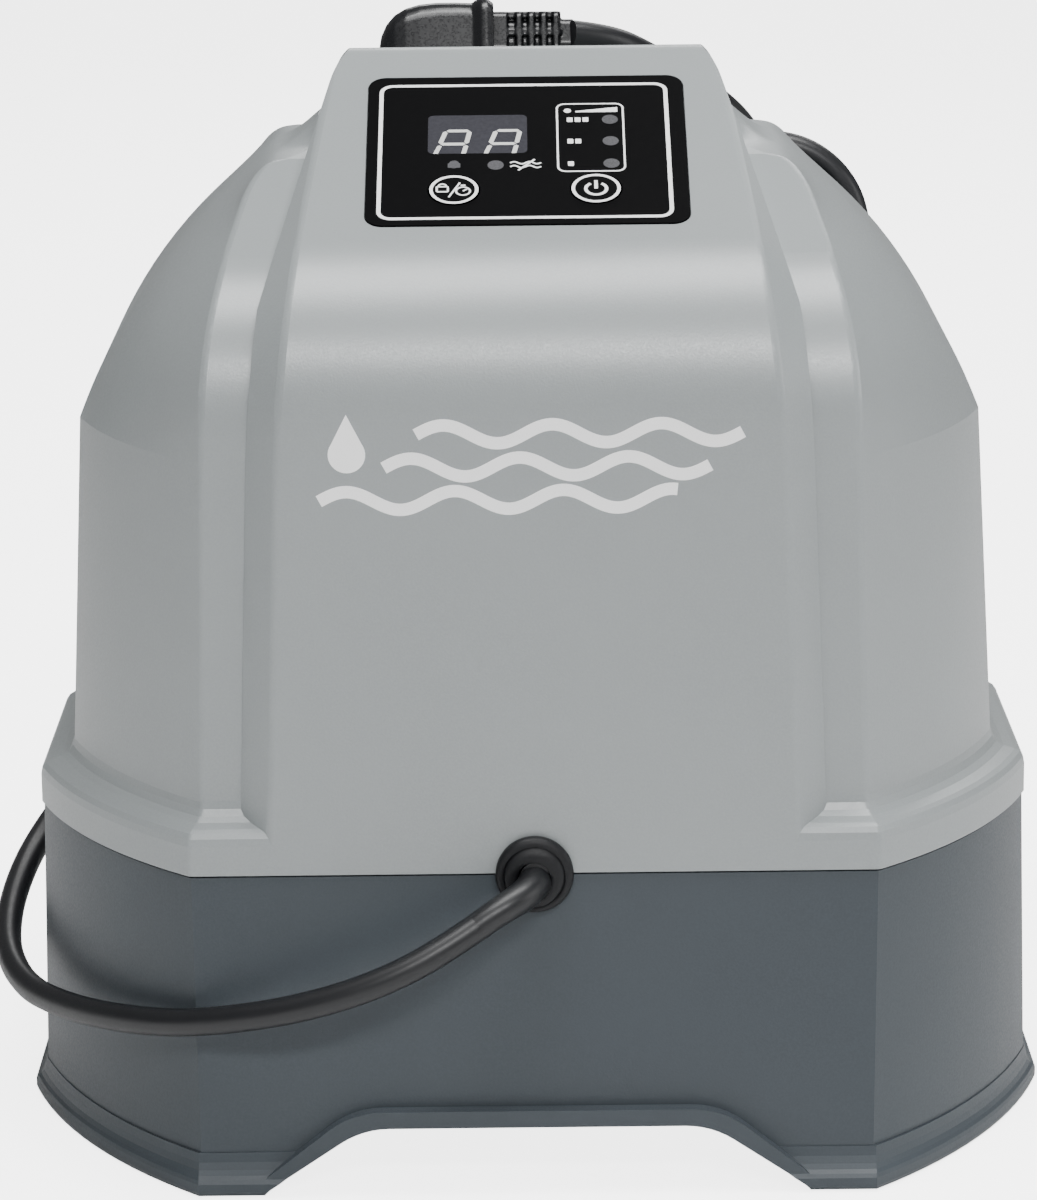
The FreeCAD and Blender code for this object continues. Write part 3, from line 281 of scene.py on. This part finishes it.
def metal(name, colour, rough=0.3, brushed=0.0, relief=0.00002):
    """Plain metal with fine scratches and patchy tarnish."""
    n = Nodes(name)
    stretch = n.add("Mapping", Vector=n.coords, Scale=(1.0, 1.0, 1.0 - 0.96 * brushed))
    grain = n.add("TexNoise", Vector=stretch.outputs["Vector"], Scale=2600.0, Detail=2.0).outputs["Fac"]
    patch = n.noise(90.0, 3.0)
    n.join(n.mix(n.ramp(patch, 0.3, 0.75, 0.0, 1.0), colour, shade(colour, 0.72)), "Base Color")
    n.join(n.ramp(grain, 0.3, 0.7, rough - 0.08, rough + 0.1), "Roughness")
    n.shader.inputs["Metallic"].default_value = 1.0
    n.bump(grain, relief)
    return n.material


COVER_GREY = linear(139, 144, 145)
BASE_GREY = linear(62, 68, 73)
BLACK = linear(4, 4, 5)
JACKET = linear(26, 27, 30)


def make_materials():
    grey = linear(120, 122, 124)
    return {
        "cover_plastic": moulded("cover_plastic", COVER_GREY, 0.34, 1700.0, 0.00003, 0.025, 0.8),
        "base_plastic": moulded("base_plastic", BASE_GREY, 0.42, 1700.0, 0.00003, 0.04, 0.3),
        "port_plastic": moulded("port_plastic", shade(BASE_GREY, 0.8), 0.4, 1500.0, 0.00004, 0.05),
        "panel_film": moulded("panel_film", BLACK, 0.34, 2600.0, 0.000004, 0.12, 0.06),
        "button_film": moulded("button_film", BLACK, 0.34, 2600.0, 0.000004, 0.12, 0.06),
        "window_smoke": moulded("window_smoke", linear(52, 52, 57), 0.16, 900.0, 0.000002, 0.12, 0.3),
        "panel_ink": moulded("panel_ink", linear(252, 252, 252), 0.4, 2600.0, 0.000004, 0.01),
        "lamp_ink": moulded("lamp_ink", linear(62, 62, 65), 0.35, 1900.0, 0.00001, 0.35),
        "digit_segments": moulded("digit_segments", linear(206, 206, 204), 0.35, 2600.0, 0.000004, 0.03),
        "strap_weave": moulded("strap_weave", linear(34, 34, 37), 0.85, 1800.0, 0.0001, 0.15),
        "lens": moulded("lens", linear(70, 70, 74), 0.35, 900.0, 0.00003, 0.25),
        "rubber_black": moulded("rubber_black", shade(JACKET, 0.6), 0.5, 1300.0, 0.00004, 0.1, 0.3),
        "cord_jacket": moulded("cord_jacket", shade(JACKET, 0.75), 0.4, 1600.0, 0.000006, 0.03),
        "plug_plastic": moulded("plug_plastic", shade(JACKET, 0.6), 0.3, 1600.0, 0.000001, 0.02, 0.6),
        "seal_grey": moulded("seal_grey", linear(40, 41, 44), 0.7, 1200.0, 0.00005, 0.1),
        "black_plastic": moulded("black_plastic", linear(38, 39, 42), 0.45, 1500.0, 0.00004, 0.08),
        "clear_cell": moulded("clear_cell", linear(205, 208, 206), 0.35, 1200.0, 0.00003, 0.03),
        "ribbon_grey": moulded("ribbon_grey", grey, 0.35, 900.0, 0.00003, 0.06),
        "lead_red": moulded("lead_red", linear(170, 40, 34), 0.4, 1200.0, 0.00003, 0.08),
        "label_blank": moulded("label_blank", linear(196, 199, 202), 0.3, 2200.0, 0.00001, 0.02),
        "pcb": moulded("pcb", linear(24, 92, 52), 0.35, 700.0, 0.00002, 0.2),
        "copper_wire": metal("copper_wire", linear(186, 110, 62), 0.35, 0.9),
        "lamination": metal("lamination", linear(120, 120, 124), 0.5, 0.95),
        "titanium": metal("titanium", linear(120, 119, 122), 0.55),
        "screw_steel": metal("screw_steel", linear(196, 197, 200), 0.3),
        "stainless": metal("stainless", linear(205, 205, 207), 0.25, 0.6),
        "plated_brass": metal("plated_brass", linear(212, 206, 190), 0.22, 0.4),
        "aluminium_fin": metal("aluminium_fin", linear(190, 192, 195), 0.4, 0.9),
    }


MATERIALS = make_materials()
cord.data.materials.append(MATERIALS["cord_jacket"])


# ---- mesh helpers ----
def finish_piece(name, bm, material, body="housing", smooth=None):
    """Turn a bmesh into a piece with a material, riding on a body."""
    bmesh.ops.recalc_face_normals(bm, faces=bm.faces)
    mesh = bpy.data.meshes.new(name)
    bm.to_mesh(mesh)
    bm.free()
    if smooth is not None:
        mesh.shade_smooth()
        mesh.set_sharp_from_angle(angle=math.radians(smooth))
    piece = bpy.data.objects.new(name, mesh)
    bpy.context.scene.collection.objects.link(piece)
    mesh.materials.append(MATERIALS[material])
    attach(piece, body)
    return piece


def prism(bm, outline, low, high, place):
    """A flat shape given by its outline, with a thickness."""
    bottom = [bm.verts.new(place(u, v, low)) for u, v in outline]
    top = [bm.verts.new(place(u, v, high)) for u, v in outline]
    bm.faces.new(top)
    bm.faces.new(list(reversed(bottom)))
    count = len(outline)
    for i in range(count):
        j = (i + 1) % count
        bm.faces.new((bottom[i], bottom[j], top[j], top[i]))


def stroke(bm, path, width, low, high, place, closed=False):
    """A line of even width along a path, mitred at its corners, with a thickness."""
    count = len(path)
    left, right = [], []
    for i, (u, v) in enumerate(path):
        before = Vector(path[i - 1]) if closed or i else None
        after = Vector(path[(i + 1) % count]) if closed or i < count - 1 else None
        here = Vector((u, v))
        steps = [step.normalized() for step in ((here - before) if before else None,
                                                (after - here) if after else None) if step]
        along = sum(steps, Vector((0, 0))).normalized()
        across = Vector((-along.y, along.x))
        reach = width / 2 / max(0.5, abs(across.dot(Vector((-steps[0].y, steps[0].x)))))
        left.append(here + across * reach)
        right.append(here - across * reach)
    rows = [[bm.verts.new(place(q.x, q.y, n)) for q in side] for side, n in
            ((left, high), (right, high), (right, low), (left, low))]
    for i in range(count if closed else count - 1):
        j = (i + 1) % count
        for a, b in ((0, 1), (1, 2), (2, 3), (3, 0)):
            bm.faces.new((rows[a][i], rows[b][i], rows[b][j], rows[a][j]))
    if not closed:
        bm.faces.new([row[0] for row in rows])
        bm.faces.new([row[-1] for row in reversed(rows)])


def arc(u, v, radius, start, end, steps=24):
    """Points on an arc, its angles in degrees."""
    angles = [math.radians(start + (end - start) * i / steps) for i in range(steps + 1)]
    return [(u + radius * math.cos(a), v + radius * math.sin(a)) for a in angles]


def round_box(u0, u1, v0, v1, radius):
    """A rectangle with rounded corners."""
    points = []
    for u, v, start in ((u1 - radius, v0 + radius, -90), (u1 - radius, v1 - radius, 0),
                        (u0 + radius, v1 - radius, 90), (u0 + radius, v0 + radius, 180)):
        points += arc(u, v, radius, start, start + 90, 6)
    return points


def circle(u, v, radius, steps=40):
    return arc(u, v, radius, 0, 360 - 360 / steps, steps - 1)


# ---- control panel print ----
PANEL_MID = (PANEL_LOW + PANEL_HIGH) / 2
PANEL_TOP = 0.8             # the film's face above the middle of its thickness
CAP_TOP = 0.95              # the button caps' faces
WINDOW_TOP = 0.7
INK = 0.04
TIMER_BUTTON = (-18.4, -18.0)
POWER_BUTTON = (17.3, -18.0)
LEVEL_LAMPS = [(21.4, 12.8), (21.4, 3.1), (21.4, -6.9)]


def on_panel(u, v, n):
    """A point on the panel: across, up the slope and out of it, in millimetres."""
    up = Vector((0, math.cos(SLOPE), math.sin(SLOPE)))
    out = Vector((0, -math.sin(SLOPE), math.cos(SLOPE)))
    return PANEL_MID + (Vector((u, 0, 0)) + up * v + out * n) * MM


def wave_points(u0, u1, v, height, waves, steps=36):
    return [(u0 + (u1 - u0) * i / steps, v + height * math.sin(2 * math.pi * waves * i / steps))
            for i in range(steps + 1)]


def make_panel_print():
    """White frame lines, level marks and a no-flow sign."""
    low, high = PANEL_TOP, PANEL_TOP + INK
    bm = bmesh.new()
    stroke(bm, round_box(-37.2, 36.0, -30.2, 29.0, 3.0), 1.05, low, high, on_panel, True)
    stroke(bm, round_box(7.9, 24.8, -10.3, 20.0, 2.0), 0.5, low, high, on_panel, True)
    prism(bm, [(12.6, 16.2), (23.4, 16.2), (23.4, 18.4), (12.6, 16.7)], low, high, on_panel)
    prism(bm, circle(10.6, 16.9, 0.95, 20), low, high, on_panel)
    for level, (_, v) in zip((3, 2, 1), LEVEL_LAMPS):
        for i in range(level):
            prism(bm, round_box(10.4 + 2.0 * i, 11.9 + 2.0 * i, v - 1.0, v + 1.0, 0.25), low, high, on_panel)
    for v in (-6.3, -8.0):
        stroke(bm, wave_points(-4.2, 3.6, v, 0.5, 2.0), 0.5, low, high, on_panel)
    stroke(bm, [(-2.2, -9.6), (2.0, -4.8)], 0.55, low, high, on_panel)
    finish_piece("panel_print", bm, "panel_ink")


def make_lamp_windows():
    """Dim unlit lamp windows printed in the film, one of them a padlock."""
    low, high = PANEL_TOP, PANEL_TOP + INK
    bm = bmesh.new()
    for u, v in LEVEL_LAMPS + [(-7.9, -7.2)]:
        prism(bm, circle(u, v, 2.05), low, high, on_panel)
    prism(bm, round_box(-20.0, -16.8, -8.2, -6.2, 0.3), low, high, on_panel)
    stroke(bm, arc(-18.4, -6.2, 0.95, 0, 180, 12), 0.5, low, high, on_panel)
    finish_piece("lamp_windows", bm, "lamp_ink")


def segment_bar(start, end, half):
    """A display segment: a bar with pointed ends."""
    a, b = Vector(start), Vector(end)
    along = (b - a).normalized()
    across = Vector((-along.y, along.x)) * half
    a, b = a + along * 0.12, b - along * 0.12
    points = [a, a + along * half + across, b - along * half + across, b, b - along * half - across,
              a + along * half - across]
    return [(q.x, q.y) for q in points]


DIGIT_TOP, DIGIT_MIDDLE, DIGIT_FOOT = 8.4, 2.5, -1.9
DIGIT_LEFT, DIGIT_RIGHT = -20.5, -14.4      # the first character's two sides, at its top
LEAN_LEFT, LEAN_RIGHT = 0.26, 0.16
DIGIT_PITCH = 12.8
LEVEL_HALF, UPRIGHT_HALF = 0.58, 0.6
SEGMENT_GAP = 0.5


def make_digits():
    """Two seven-segment characters, cut off at their feet by the window's lower edge."""
    low, high = WINDOW_TOP, WINDOW_TOP + INK
    bm = bmesh.new()
    for shift in (0.0, DIGIT_PITCH):
        def left(v):
            return DIGIT_LEFT + LEAN_LEFT * (v - DIGIT_TOP) + shift

        def right(v):
            return DIGIT_RIGHT + LEAN_RIGHT * (v - DIGIT_TOP) + shift

        for v in (DIGIT_TOP, DIGIT_MIDDLE):
            prism(bm, segment_bar((left(v), v), (right(v), v), LEVEL_HALF), low, high, on_panel)
        for side in (left, right):
            ends = [(side(v), v) for v in (DIGIT_TOP, DIGIT_MIDDLE)]
            prism(bm, segment_bar(*ends, UPRIGHT_HALF), low, high, on_panel)
            v = DIGIT_MIDDLE - SEGMENT_GAP
            lower = [(side(v) - UPRIGHT_HALF, v - SEGMENT_GAP), (side(v), v),
                     (side(v) + UPRIGHT_HALF, v - SEGMENT_GAP),
                     (side(DIGIT_FOOT) + UPRIGHT_HALF, DIGIT_FOOT),
                     (side(DIGIT_FOOT) - UPRIGHT_HALF, DIGIT_FOOT)]
            prism(bm, lower, low, high, on_panel)
    finish_piece("display_digits", bm, "digit_segments")


def make_button_prints():
    low, high = CAP_TOP, CAP_TOP + INK
    bm = bmesh.new()
    u, v = TIMER_BUTTON
    stroke(bm, circle(u, v, 5.75), 0.85, low, high, on_panel, True)
    stroke(bm, round_box(u - 4.3, u - 1.5, v - 0.9, v + 1.3, 0.3), 0.5, low, high, on_panel, True)
    stroke(bm, arc(u - 2.9, v + 1.5, 0.95, 0, 180, 14), 0.5, low, high, on_panel)
    stroke(bm, [(u - 1.3, v - 3.3), (u + 1.5, v + 3.0)], 0.5, low, high, on_panel)
    stroke(bm, circle(u + 2.3, v - 0.7, 1.75, 28), 0.5, low, high, on_panel, True)
    stroke(bm, [(u + 2.3, v - 0.7), (u + 3.3, v + 0.2)], 0.45, low, high, on_panel)
    prism(bm, round_box(u + 1.7, u + 2.9, v + 1.5, v + 2.1, 0.15), low, high, on_panel)
    finish_piece("timer_button_print", bm, "panel_ink", "timer_lock_button")
    bm = bmesh.new()
    u, v = POWER_BUTTON
    stroke(bm, circle(u, v, 5.75), 0.85, low, high, on_panel, True)
    stroke(bm, arc(u, v - 0.2, 2.6, 122, 418, 40), 0.85, low, high, on_panel)
    prism(bm, round_box(u - 0.45, u + 0.45, v - 0.2, v + 3.4, 0.15), low, high, on_panel)
    finish_piece("power_button_print", bm, "panel_ink", "power_button")


# ---- wave motif on the hood's front ----
MOTIF_PROUD = 0.05
FRONT_ROUND = 45.0
ROUND_FROM_Z = 198.7


def on_front(x, z, n):
    """A point on the hood's upright front, which starts to round back near the motif's top."""
    above = max(0.0, z - ROUND_FROM_Z)
    back = FRONT_ROUND - math.sqrt(FRONT_ROUND ** 2 - above ** 2)
    return at(x, back - n, z)


def make_motif():
    """Three rows of waves with a drop at their head."""
    bm = bmesh.new()
    for z, x0, x1, waves in ((195.4, -28.0, 52.0, 3), (187.2, -36.0, 44.0, 3), (179.0, -52.0, 36.0, 3.3)):
        stroke(bm, wave_points(x0, x1, z, 2.3, waves, 90), 3.1, 0.0, MOTIF_PROUD, on_front)
    drop = arc(-45.0, 190.6, 4.6, -215, 35, 24) + [(-45.0, 200.6)]
    prism(bm, drop, 0.0, MOTIF_PROUD, on_front)
    finish_piece("wave_motif", bm, "panel_ink")


# ---- turned pieces ----
def lathe(bm, profile, start, axis, steps=64, lean=None):
    """Turn a closed profile of (radius, along) in millimetres about an axis from a start point."""
    turn = Vector((0, 0, 1)).rotation_difference(axis).to_matrix()
    rings = []
    for radius, along in profile:
        offset = lean(along) if lean else Vector((0, 0, 0))
        ring = []
        for i in range(steps):
            a = 2 * math.pi * i / steps
            spot = turn @ Vector((radius * math.cos(a), radius * math.sin(a), along))
            ring.append(bm.verts.new(start + (spot + offset) * MM))
        rings.append(ring)
    for k in range(len(rings)):
        lower, upper = rings[k], rings[(k + 1) % len(rings)]
        for i in range(steps):
            j = (i + 1) % steps
            bm.faces.new((lower[i], lower[j], upper[j], upper[i]))


GROMMET_Z = 83.4
BOSS_FROM = 2.6             # the grommet's inner boss starts to lean this far out
BOSS_LEAN = Vector((-0.35, 0.0, -0.9))
SLEEVE_OVER, SLEEVE_FLARE = 0.02, 0.75      # how much wider than the cord the sleeve is, at its end and start
# The sleeve comes straight out of the grommet and bends round into the cord's first run.
SLEEVE_BEND = [(0.3, -1.0, 81.9), (-0.7, -9.4, 80.6), (-6.6, -12.6, 79.4), (-14.2, -14.7, 74.2)]


def make_grommet():
    """Rubber grommet: rounded flange, a groove, and an inner boss that leans with the cord."""
    profile = [
        (3.9, -8.8), (9.5, -8.8), (9.5, -7.1), (7.35, -7.0), (7.35, 0.0), (9.4, 0.0), (9.75, 0.3),
        (9.8, 1.6), (9.55, 2.5), (8.9, 3.0), (8.1, 3.1), (7.75, 2.95), (7.6, 2.7), (7.45, 2.95),
        (7.2, 3.45), (6.6, 3.8), (5.6, 3.9), (4.7, 3.8), (4.2, 3.4), (3.9, 2.4),
    ]
    bm = bmesh.new()

    def lean(along):
        return BOSS_LEAN * max(0.0, along - BOSS_FROM)

    lathe(bm, profile, at(0.0, 0.0, GROMMET_Z), Vector((0, -1, 0)), 72, lean)
    piece = finish_piece("grommet", bm, "rubber_black", smooth=50)
    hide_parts("cable_grommet")


def make_sleeve():
    """The cord's short tapered sleeve, moulded on where it leaves the grommet."""
    bend = [at(*point) for point in SLEEVE_BEND]
    steps, around = 20, 40
    bm = bmesh.new()
    rows = []
    for i in range(steps + 1):
        t = i / steps
        spot = sum((weight * point for weight, point in zip(
            ((1 - t) ** 3, 3 * t * (1 - t) ** 2, 3 * t * t * (1 - t), t ** 3), bend)), Vector())
        along = sum((weight * (q - p) for weight, p, q in zip(
            ((1 - t) ** 2, 2 * t * (1 - t), t * t), bend, bend[1:])), Vector()).normalized()
        across = along.cross(Vector((0, 0, 1))).normalized()
        lift = across.cross(along)
        radius = (CORD_D / 2 + SLEEVE_OVER + SLEEVE_FLARE * (1 - t) ** 1.6) * MM
        rows.append([spot + (across * math.cos(a) + lift * math.sin(a)) * radius
                     for a in (2 * math.pi * k / around for k in range(around))])
    skin(bm, rows)
    piece = finish_piece("sleeve", bm, "cord_jacket", smooth=60)
    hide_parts("cord_sleeve")
    return piece


# ---- plug ----
PLUG_MID_X, PLUG_DEPTH = -22.5, 130.0
HOOD_EDGE_Z = 226.6


def on_rear(x, y, n):
    """A point from millimetres on the rear slope: across, down the slope and out of it."""
    down = Vector((0, math.cos(SLOPE), -math.sin(SLOPE)))
    out = Vector((0, math.sin(SLOPE), math.cos(SLOPE)))
    rear_z = HOOD_EDGE_Z + (CASE_DEPTH / MM - PLUG_DEPTH) * math.tan(SLOPE)
    return at(PLUG_MID_X + x, PLUG_DEPTH, rear_z) + (down * y + out * n) * MM


def down(y):
    """A step down the rear slope, in millimetres."""
    return on_rear(0, y, 0) - on_rear(0, 0, 0)


def melt(name, bm, slot, voxel, replaced):
    """Close overlapping blocks into one moulded skin with softened edges."""
    piece = finish_piece(name, bm, slot)
    remesh = piece.modifiers.new("skin", "REMESH")
    remesh.mode = "VOXEL"
    remesh.voxel_size = voxel * MM
    remesh.use_smooth_shade = True
    soften = piece.modifiers.new("soften", "SMOOTH")
    soften.factor = 0.5
    soften.iterations = 6
    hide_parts(replaced)
    return piece


def plug_section(x, low, high, half, crown):
    """A rounded section of the plug across its length: flat-footed, upright sides, crowned back."""
    points = []
    for side in (1, -1):
        corner = [(half, low), (half, low + (high - low) * 0.45)]
        for a in (math.radians(degrees) for degrees in range(0, 91, 15)):
            corner.append((half - crown * (1 - math.cos(a)), high - crown + crown * math.sin(a)))
        points += [(side * y, n) for y, n in (corner if side == 1 else reversed(corner))]
    return [on_rear(x, y, n) for y, n in points]


def skin(bm, sections):
    """Join sections with the same number of points and close both ends."""
    rows = [[bm.verts.new(point) for point in section] for section in sections]
    count = len(rows[0])
    for lower, upper in zip(rows, rows[1:]):
        for i in range(count):
            j = (i + 1) % count
            bm.faces.new((lower[i], lower[j], upper[j], upper[i]))
    bm.faces.new(rows[0])
    bm.faces.new(list(reversed(rows[-1])))


PLUG_TURN = 4.6             # the body's middle lies this far down the slope from the cord
COLLAR_END, COLLAR_LONG = 14.2, 5.2


def make_plug_body():
    """Right-angle plug body: rounded nose, crowned back and a raised collar where the cord comes in."""
    bm = bmesh.new()
    stations = [(-16.6, 9.0, 8.0), (-16.0, 12.0, 9.6), (-14.6, 14.6, 11.2), (-12.4, 16.8, 12.6),
                (-9.4, 18.4, 13.4), (-5.6, 19.4, 13.8), (-1.0, 19.8, 14.0), (4.0, 19.8, 14.0),
                (9.6, 19.6, 13.8)]
    skin(bm, [[p + down(PLUG_TURN) for p in plug_section(x, 0.7, high, half, min(half - 1.0, 5.6))]
              for x, high, half in stations])
    collar = [(9.0, 19.9, 14.0), (11.0, 20.2, 13.6), (12.4, 20.0, 12.6), (COLLAR_END, 18.8, 10.4)]
    skin(bm, [[p + down(PLUG_TURN * (COLLAR_END - x) / COLLAR_LONG)
               for p in plug_section(x, 1.0, high, half, 4.6)] for x, high, half in collar])
    return melt("plug_shell", bm, "plug_plastic", 0.35, "plug_body")


RELIEF_FROM, RELIEF_TO = 13.4, 33.0
RELIEF_MID, RELIEF_HALF = 11.0, 6.2
HEEL_LONG = 4.4
RIB_COUNT, RIB_FROM, RIB_PITCH, RIB_LONG = 4, 6.8, 3.3, 1.5
RAIL_OUTER, RAIL_INNER = 0.1, 1.9           # a rail's two faces, in from the relief's top or bottom


def make_relief():
    """Ribbed strain relief: a flexible core with frames, and rails along its back, middle and sides."""
    bm = bmesh.new()

    def frame(start, end, size):
        prism(bm, round_box(RELIEF_MID - size, RELIEF_MID + size, -size, size, 2.2), start, end,
              lambda n, y, x: on_rear(x, y, n))

    def rail(low, high, half):
        prism(bm, round_box(RELIEF_FROM, RELIEF_TO - 0.8, low, high, 0.4), -half, half,
              lambda x, n, y: on_rear(x, y, n))

    frame(RELIEF_FROM, RELIEF_TO - 0.6, RELIEF_HALF - 2.0)
    frame(RELIEF_FROM, RELIEF_FROM + HEEL_LONG, RELIEF_HALF)
    for i in range(RIB_COUNT):
        start = RELIEF_FROM + RIB_FROM + RIB_PITCH * i
        frame(start, start + RIB_LONG, RELIEF_HALF)
    bottom, top = RELIEF_MID - RELIEF_HALF, RELIEF_MID + RELIEF_HALF
    rail(bottom + RAIL_OUTER, bottom + RAIL_INNER, RELIEF_HALF - 1.4)
    rail(top - RAIL_INNER, top - RAIL_OUTER, RELIEF_HALF - 1.4)
    rail(RELIEF_MID - 1.0, RELIEF_MID + 1.0, RELIEF_HALF - 0.3)
    frame(RELIEF_TO - 1.0, RELIEF_TO + 2.6, CORD_D / 2 + 0.9)
    return melt("ribbed_relief", bm, "plug_plastic", 0.3, "plug_strain_relief")


# ---- tie round the hank ----
TIE_WIDE = 11.0


def make_tie():
    """Hook-and-loop strap round the hank's waist, its end lapped and standing off a little."""
    reach_x = WAIST_HALF + CORD_D / 2 + 0.5
    front, rear = HANK_FRONT - CORD_D / 2 - 0.7, HANK_REAR + CORD_D / 2 + 0.3
    loop = round_box(HANK_X - reach_x, HANK_X + reach_x, front, rear, 4.5)
    tail = [(HANK_X - 9.0, rear + 1.3), (HANK_X - 3.0, rear + 1.6), (HANK_X + 4.0, rear + 1.6),
            (HANK_X + 11.0, rear + 2.4)]
    bm = bmesh.new()
    for path, thick, closed in ((loop, 1.1, True), (tail, 0.9, False)):
        stroke(bm, path, thick, WAIST_Z - TIE_WIDE / 2, WAIST_Z + TIE_WIDE / 2, at, closed)
    piece = finish_piece("hank_tie", bm, "strap_weave", smooth=40)
    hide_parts("cord_tie")
    return piece


make_panel_print()
make_lamp_windows()
make_digits()
make_button_prints()
make_motif()
make_grommet()
sleeve = make_sleeve()
plug_shell = make_plug_body()
relief = make_relief()
tie = make_tie()


def dress_cad_nodes():
    """Give every CAD node its slot's material."""
    slots = {entry["node"]: entry["material_slot"] for entry in frame["record"]["subparts"]}
    for name, node in frame["nodes"].items():
        node.data.materials.clear()
        node.data.materials.append(MATERIALS[slots[name]])


dress_cad_nodes()


# ---- floor and light ----
FLOOR_HALF = 12.0
FLOOR_GLOW = 4.0            # the table glows, and its glow lights nothing but the table
FLOOR_DARK, FLOOR_PALE = (0.86, 0.86, 0.86), (0.88, 0.88, 0.88)
SKY = 0.16


def make_studio():
    plane = bpy.data.meshes.new("floor")
    corners = [(-FLOOR_HALF, -FLOOR_HALF, 0), (FLOOR_HALF, -FLOOR_HALF, 0),
               (FLOOR_HALF, FLOOR_HALF, 0), (-FLOOR_HALF, FLOOR_HALF, 0)]
    plane.from_pydata(corners, [], [(0, 1, 2, 3)])
    floor = bpy.data.objects.new("floor", plane)
    bpy.context.scene.collection.objects.link(floor)
    n = Nodes("floor_paint")
    tint = n.noise(3.0, 2.0)
    n.join(n.mix(n.ramp(tint, 0.3, 0.7, 0.0, 1.0), FLOOR_DARK, FLOOR_PALE), "Base Color")
    n.shader.inputs["Roughness"].default_value = 0.7
    n.shader.inputs["Specular IOR Level"].default_value = 0.1
    n.shader.inputs["Emission Color"].default_value = (1.0, 1.0, 1.0, 1.0)
    n.shader.inputs["Emission Strength"].default_value = FLOOR_GLOW
    floor.data.materials.append(n.material)
    table = bpy.data.collections.new("table")
    table.objects.link(floor)
    floor.light_linking.receiver_collection = table
    world = bpy.data.worlds.new("studio")
    world.use_nodes = True
    world.node_tree.nodes["Background"].inputs["Color"].default_value = (1.0, 1.0, 1.0, 1.0)
    world.node_tree.nodes["Background"].inputs["Strength"].default_value = SKY
    bpy.context.scene.world = world


def soft_box(name, place, target, size, power):
    data = bpy.data.lights.new(name, "AREA")
    data.shape = "RECTANGLE"
    data.size, data.size_y = size
    data.energy = power
    light = bpy.data.objects.new(name, data)
    light.location = place
    light.rotation_euler = (Vector(target) - Vector(place)).to_track_quat("-Z", "Y").to_euler()
    bpy.context.scene.collection.objects.link(light)


make_studio()
soft_box("overhead", (0.1, -0.2, 1.6), (0, 0, 0.15), (1.4, 0.6), 34.0)
soft_box("front_band", (0.25, -1.75, 1.3), (0, -0.1, 0.2), (1.2, 0.18), 26.0)
soft_box("right_side", (1.7, -0.5, 0.6), (0, 0, 0.12), (0.8, 0.9), 7.0)
soft_box("rear_rim", (0.3, 1.6, 1.2), (0, 0.1, 0.2), (1.4, 0.5), 10.0)

at(-12.2, -13.8, 75.4)
